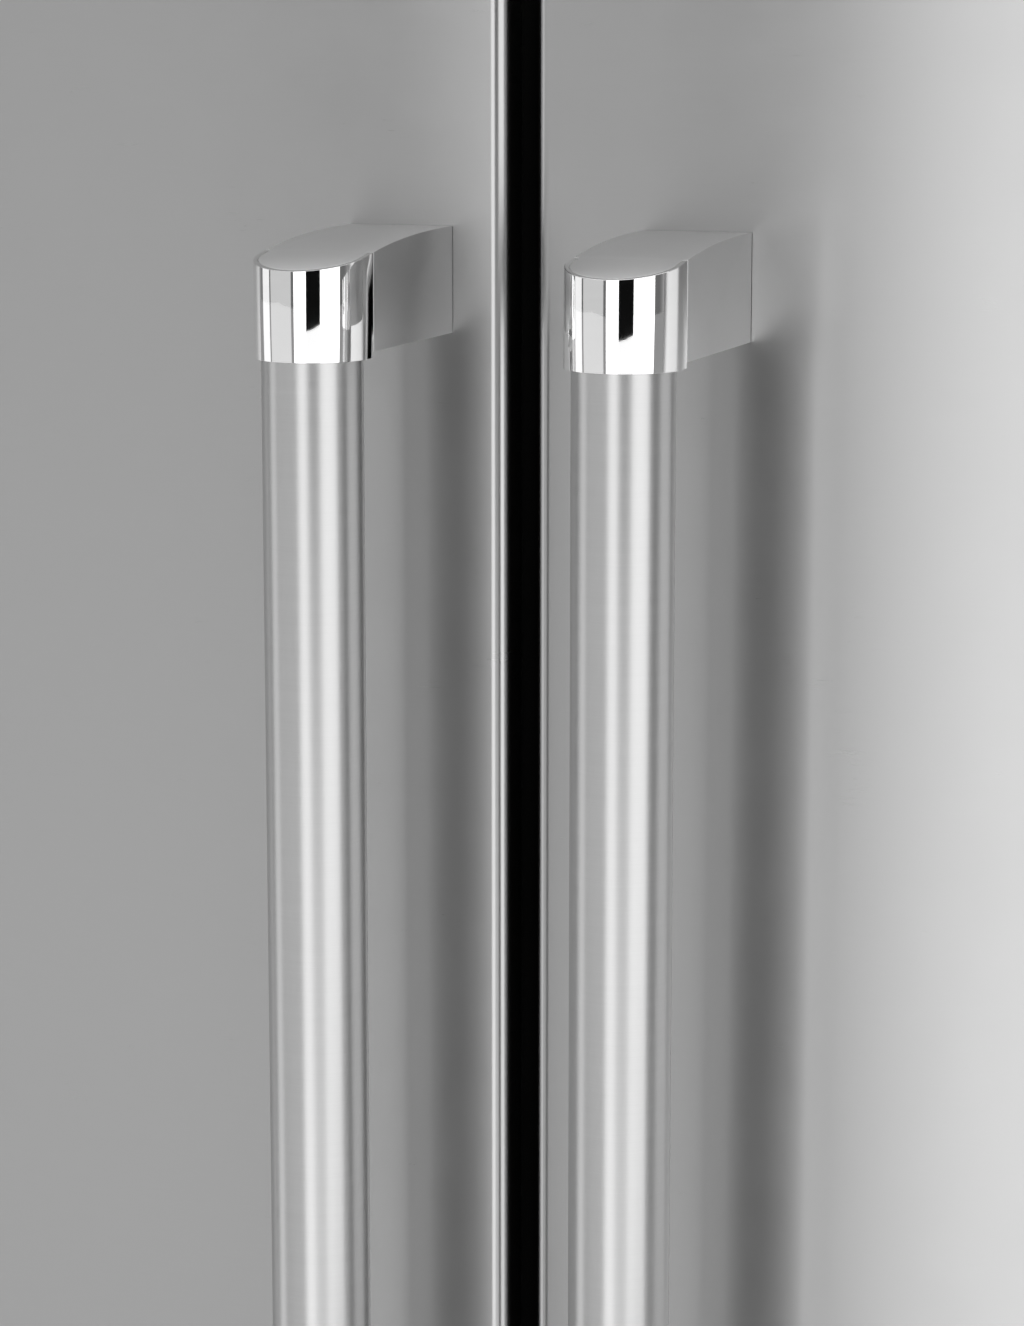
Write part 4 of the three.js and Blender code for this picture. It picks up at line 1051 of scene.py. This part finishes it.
class FRIDGE_OT_shelves(bpy.types.Operator):
    """Builds the glass shelves with their frames, brackets and tracks, and the crispers' cover"""

    bl_idname = "fridge.shelves"
    bl_label = "Shelves"

    def execute(self, context):
        sizes = context.scene.fridge_inside
        for word in SIDES:
            self.stack(word, sizes)
        self.cover(sizes)
        refined("control_panel", "cabinet", white_liner(), 2.0 * MM, 3)
        return {"FINISHED"}

    def framed_glass(self, name, x, y, z, sizes):
        """A glass plate let into a moulded frame with a deeper front rail."""
        height, rim, ledge, skin = 10 * MM, 14 * MM, 4 * MM, 1 * MM
        top = z + height
        surround = block(f"{name}_frame", (x[0], y[0], z), (x[1], y[1], top))
        with Editing(surround) as edit:
            edit.faces(lambda centre, normal: normal.z > 0.5)
            edit.inset(rim)
            edit.extrude((0, 0, -sizes.glass - skin))
            edit.inset(ledge)
            edit.extrude((0, 0, -(height - sizes.glass - 2 * skin)))
        round_edges(surround, 0.8 * MM, 3)
        glass_z = top - sizes.glass - 0.8 * MM
        gap = rim + 0.3 * MM
        plate = rounded_block(
            f"{name}_glass",
            (x[0] + gap, y[0] + gap, glass_z),
            (x[1] - gap, y[1] - gap, glass_z + sizes.glass),
            0.7 * MM,
        )
        return surround, plate

    def track(self, name, x, low, high):
        """A slotted upright track between two corners' heights."""
        pitch, half_slot, slot_width, slot_depth = 25 * MM, 4 * MM, 4 * MM, 4 * MM
        post = block(name, (x - 8 * MM, low.y, low.z), (x + 8 * MM, high.y, high.z))
        with Editing(post) as edit:
            for i in range(1, int((high.z - low.z) / pitch)):
                edit.cut(2, low.z + i * pitch - half_slot)
                edit.cut(2, low.z + i * pitch + half_slot)
            edit.cut(0, x - slot_width / 2)
            edit.cut(0, x + slot_width / 2)
            edit.faces(
                lambda centre, normal: normal.y < -0.5
                and abs(centre.x - x) < slot_width / 4
                and abs((centre.z - low.z + pitch / 2) % pitch - pitch / 2) < 1.8 * MM
            )
            edit.extrude((0, slot_depth, 0))
        round_edges(post, 0.5 * MM, 2, 40)
        return post

    def shelf_arm(self, name, x, y, z):
        """A bracket under a shelf, which tapers from the track to its front end."""
        depth, taper = 46 * MM, 40 * MM
        arm = block(name, (x - 3 * MM, y[0], z - depth), (x + 3 * MM, y[1], z - 0.2 * MM))
        with Editing(arm) as edit:
            edit.points(lambda p: p.y < y[0] + 1 * MM and p.z < z - taper)
            edit.move((0, 0, taper))
        round_edges(arm, 0.8 * MM, 2)
        return arm

    def stack(self, word, sizes):
        """Two shelves on their arms and tracks."""
        low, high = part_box(f"{word}_shelves")
        back = high.y - 9 * MM
        name = f"{word}_shelf"
        tracks_x = [low.x + inset for inset in (48 * MM, high.x - low.x - 48 * MM)]
        track_low = Vector((low.x, back, low.z))
        metal = [self.track(f"{name}_track", x, track_low, high) for x in tracks_x]
        frames, plates = [], []
        for i, z in enumerate((low.z + 120 * MM, high.z - 60 * MM)):
            y = (low.y, high.y - 12 * MM)
            surround, plate = self.framed_glass(f"{name}_{i}", (low.x, high.x), y, z, sizes)
            frames.append(surround)
            plates.append(plate)
            for x in tracks_x:
                arm_y = (low.y + 60 * MM, back + 2 * MM)
                metal.append(self.shelf_arm(f"{name}_arm", x, arm_y, z))
        shelves = joined(f"{name}_frames", frames)
        done(shelves, "cabinet", white_liner(), (f"{word}_shelves",))
        done(joined(f"{name}_plates", plates), "cabinet", shelf_glass())
        done(joined(f"{name}_brackets", metal), "cabinet", zinc_plate())

    def cover(self, sizes):
        """The crispers' glass cover, with a front rail, a middle wall and a rear wall."""
        low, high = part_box("crisper_cover")
        rear_y, wall_top = high.y - 4 * MM, high.z - 17 * MM
        surround, plate = self.framed_glass(
            "crisper_cover_top", (low.x, high.x), (low.y + 6 * MM, high.y), high.z - 18 * MM, sizes
        )
        rail_low, rail_high = (low.x, low.y, high.z - 20 * MM), (high.x, low.y + 12 * MM, high.z)
        rail = rounded_block("cover_rail", rail_low, rail_high, 3 * MM, 4)
        wall_low, wall_high = (-3 * MM, low.y + 20 * MM, low.z), (3 * MM, rear_y, wall_top)
        wall = rounded_block("cover_wall", wall_low, wall_high, 1 * MM)
        rear_low, rear_high = (low.x, rear_y, low.z), (high.x, high.y, wall_top)
        rear = rounded_block("cover_rear", rear_low, rear_high, 1 * MM)
        cover = joined("crisper_cover_frame", [surround, rail, wall, rear])
        done(cover, "cabinet", white_liner(), ("crisper_cover",))
        done(plate, "cabinet", shelf_glass())


class FRIDGE_OT_bins(bpy.types.Operator):
    """Builds the clear door bins and crispers with their white trims"""

    bl_idname = "fridge.bins"
    bl_label = "Bins and crispers"

    def execute(self, context):
        sizes = context.scene.fridge_inside
        for word in SIDES:
            for level in ("upper", "lower"):
                self.door_bin(word, level, sizes)
            self.crisper(word, sizes)
        return {"FINISHED"}

    def door_bin(self, word, level, sizes):
        """A clear tray with a white rail along its inner top edge."""
        node = f"{word}_{level}_bin"
        low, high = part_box(node)
        tray_high = (high.x, high.y - 1.5 * MM, high.z - 2.5 * MM)
        tray = open_tray(f"{node}_tray", low, tray_high, sizes.bin_round, sizes.wall, 6 * MM)
        done(tray, DOORS[word], clear_plastic(), (node,))
        rail = rounded_block(
            f"{node}_rail",
            (low.x + sizes.bin_round, high.y - sizes.wall - 3 * MM, high.z - 16 * MM),
            (high.x - sizes.bin_round, high.y, high.z),
            2.2 * MM,
            4,
        )
        done(rail, DOORS[word], white_liner())

    def crisper(self, word, sizes):
        """A clear drawer with a thick front, let in for the fingers."""
        node = f"{word}_crisper"
        low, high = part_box(node)
        tray_low = (low.x, low.y + 6 * MM, low.z)
        tray = open_tray(f"{node}_tray", tray_low, high, sizes.bin_round, sizes.wall, 8 * MM)
        done(tray, node, clear_plastic(), (node,))
        front_low = (low.x, low.y, low.z + 4 * MM)
        front_high = (high.x, low.y + 5.7 * MM, high.z - 2 * MM)
        front = block(f"{node}_front", front_low, front_high)
        grip_z, half_grip = (high.z - 50 * MM, high.z - 18 * MM), 75 * MM
        with Editing(front) as edit:
            edit.cut(2, grip_z[0])
            edit.cut(2, grip_z[1])
            middle = (low.x + high.x) / 2
            edit.cut(0, middle - half_grip)
            edit.cut(0, middle + half_grip)
            edit.faces(
                lambda centre, normal: normal.y < -0.5
                and abs(centre.x - middle) < 10 * MM
                and grip_z[0] < centre.z < grip_z[1]
            )
            edit.inset(3 * MM)
            edit.extrude((0, 3.6 * MM, 0))
        round_edges(front, 0.9 * MM, 3)
        done(front, node, clear_plastic())


class FRIDGE_OT_freezer(bpy.types.Operator):
    """Refines the freezer's rails, basket and tray, and the doors' mullion"""

    bl_idname = "fridge.freezer"
    bl_label = "Freezer and mullion"

    def execute(self, context):
        refined("drawer_rail_frame", "freezer_drawer", zinc_plate(), 0.8 * MM)
        refined("freezer_basket", "freezer_drawer", white_liner(), 1.2 * MM, 3)
        refined("freezer_tray", "freezer_tray", white_liner(), 1.2 * MM, 3)
        refined("mullion", "mullion", dark_gasket(), 1.0 * MM, 3)
        return {"FINISHED"}


# The flat row of light panels before the doors: across, up, and which brightness each has.
PANEL_Y = BAR_Y - 1.45
FRONT_PANELS = {
    "wide_panel": ((-3.2, -0.535), (0.25, 2.5), "wide"),
    "key_panel": ((-0.385, 0.235), (0.25, 2.5), "key"),
    "low_panel": ((0.235, 1.09), (0.25, 1.385), "low"),
    "right_panel": ((1.09, 2.5), (0.25, 2.5), "right"),
}
FLAG = ((0.235, 1.09), (1.385, 2.5))  # the dark flag over the low panel, across and up


class FRIDGE_OT_stage(bpy.types.Operator):
    """Sets the floor, the studio light and the camera"""

    bl_idname = "fridge.stage"
    bl_label = "Stage"

    def execute(self, context):
        scene = context.scene
        light = scene.fridge_light
        scene.view_settings.view_transform = "Standard"
        deselect()
        bpy.ops.mesh.primitive_plane_add(size=60)
        floor = context.object
        floor.name = "floor"
        floor.data.materials.append(floor_finish())
        scene.world = studio_surround(light)
        right = math.pi / 2
        for name, (x, z, strength) in FRONT_PANELS.items():
            place = (sum(x) / 2, PANEL_Y, sum(z) / 2)
            radiance = getattr(light, strength)
            area_panel(name, place, (right, 0, 0), x[1] - x[0], z[1] - z[0], radiance)
        side_y, left_y = BAR_Y - 0.985, BAR_Y - 0.35
        area_panel("side_panel", (2.5, side_y, 1.375), (0, right, 0), 2.25, 0.93, light.right)
        area_panel("left_panel", (-1.7, left_y, 1.3), (0, -right, 0), 2.2, 0.6, 0.8)
        area_panel("top_panel", (0, -0.6, 3.0), (0, 0, 0), 3.0, 2.6, 0.9)
        area_panel("back_panel", (0.4, 3.2, 1.6), (-right, 0, 0), 3.0, 2.4, 0.5)
        deselect()
        x, z = FLAG
        place = (sum(x) / 2, PANEL_Y, sum(z) / 2)
        bpy.ops.mesh.primitive_plane_add(size=1, location=place, rotation=(right, 0, 0))
        flag = context.object
        flag.name = "dark_flag"
        flag.scale = (x[1] - x[0], z[1] - z[0], 1)
        flag.data.materials.append(flag_finish())
        for ray in ("visible_camera", "visible_diffuse", "visible_shadow", "visible_transmission"):
            setattr(flag, ray, False)
        make_camera()
        return {"FINISHED"}


def studio_surround(light):
    """An even surround, dim before the doors and brighter behind them."""
    world = bpy.data.worlds.new("surround")
    sky = Paint("surround", world)
    behind = sky.node("SeparateXYZ", output=1, Vector=sky.node("TexCoord")).between(-0.05, 0.5)
    strength = behind * (light.back - light.sky) + light.sky
    glow = sky.node("Background", Color=(1, 1, 1, 1), Strength=strength)
    sky.node("OutputWorld", Surface=glow)
    return world


def area_panel(name, place, turn, width, height, radiance):
    """A light panel with an even brightness over its face."""
    data = bpy.data.lights.new(name, "AREA")
    data.shape = "RECTANGLE"
    data.size = width
    data.size_y = height
    data.energy = radiance * math.pi * width * height
    obj = bpy.data.objects.new(name, data)
    bpy.context.scene.collection.objects.link(obj)
    obj.location = place
    obj.rotation_euler = turn
    obj.visible_camera = False
    return obj


@finish_of
def floor_finish(name):
    """Pale matt studio floor."""
    paint = Paint(name)
    cloud = paint.noise(paint.place(), 2.0, 3.0)
    return paint.finish(
        Base_Color=paint.blend(cloud, (0.78, 0.78, 0.78), (0.82, 0.82, 0.82)), Roughness=0.7
    )


@finish_of
def flag_finish(name):
    """Dull black cloth."""
    paint = Paint(name)
    return paint.finish(Base_Color=(0.005, 0.005, 0.005, 1), Roughness=1.0, Specular_IOR_Level=0.0)


def make_camera():
    """A long lens before the upper ends of the handles, a little to the right and above."""
    turn, dip = 0.3422, 0.1797  # to the left and downwards
    level = Vector((-math.sin(turn), math.cos(turn), 0))
    forward = level * math.cos(dip) - Vector((0, 0, math.sin(dip)))
    data = bpy.data.cameras.new("camera")
    data.lens = 99.5
    data.sensor_width = 36
    data.clip_start = 0.01
    data.clip_end = 100
    camera = bpy.data.objects.new("camera", data)
    bpy.context.scene.collection.objects.link(camera)
    camera.location = (0.3105, BAR_Y - 0.8379, ARM_TOP + 0.0586)
    camera.rotation_mode = "QUATERNION"
    camera.rotation_quaternion = forward.to_track_quat("-Z", "Y")
    bpy.context.scene.camera = camera


# ---------------------------------------------------------------- panel, registration and the run

OPERATORS = (
    FRIDGE_OT_stage,
    FRIDGE_OT_skins,
    FRIDGE_OT_cores,
    FRIDGE_OT_handles,
    FRIDGE_OT_cabinet,
    FRIDGE_OT_machinery,
    FRIDGE_OT_feet,
    FRIDGE_OT_shelves,
    FRIDGE_OT_bins,
    FRIDGE_OT_freezer,
)


class FRIDGE_PT_build(bpy.types.Panel):
    """Lists the operators in the order they are run"""

    bl_label = "Refrigerator"
    bl_idname = "FRIDGE_PT_build"
    bl_space_type = "VIEW_3D"
    bl_region_type = "UI"
    bl_category = "Refrigerator"

    def draw(self, context):
        for operator in OPERATORS:
            self.layout.operator(operator.bl_idname)
        for name, group in PROPERTY_GROUPS.items():
            box = self.layout.box()
            for prop in group.__annotations__:
                box.prop(getattr(context.scene, name), prop)


def register():
    for group in PROPERTY_GROUPS.values():
        bpy.utils.register_class(group)
    for name, group in PROPERTY_GROUPS.items():
        setattr(bpy.types.Scene, name, PointerProperty(type=group))
    for item in (*OPERATORS, FRIDGE_PT_build):
        bpy.utils.register_class(item)


def unregister():
    for item in reversed((*OPERATORS, FRIDGE_PT_build)):
        bpy.utils.unregister_class(item)
    for name in PROPERTY_GROUPS:
        delattr(bpy.types.Scene, name)
    for group in reversed(PROPERTY_GROUPS.values()):
        bpy.utils.unregister_class(group)


def main():
    register()
    for operator in OPERATORS:
        group, action = operator.bl_idname.split(".")
        getattr(getattr(bpy.ops, group), action)()


if __name__ == "__main__":
    main()
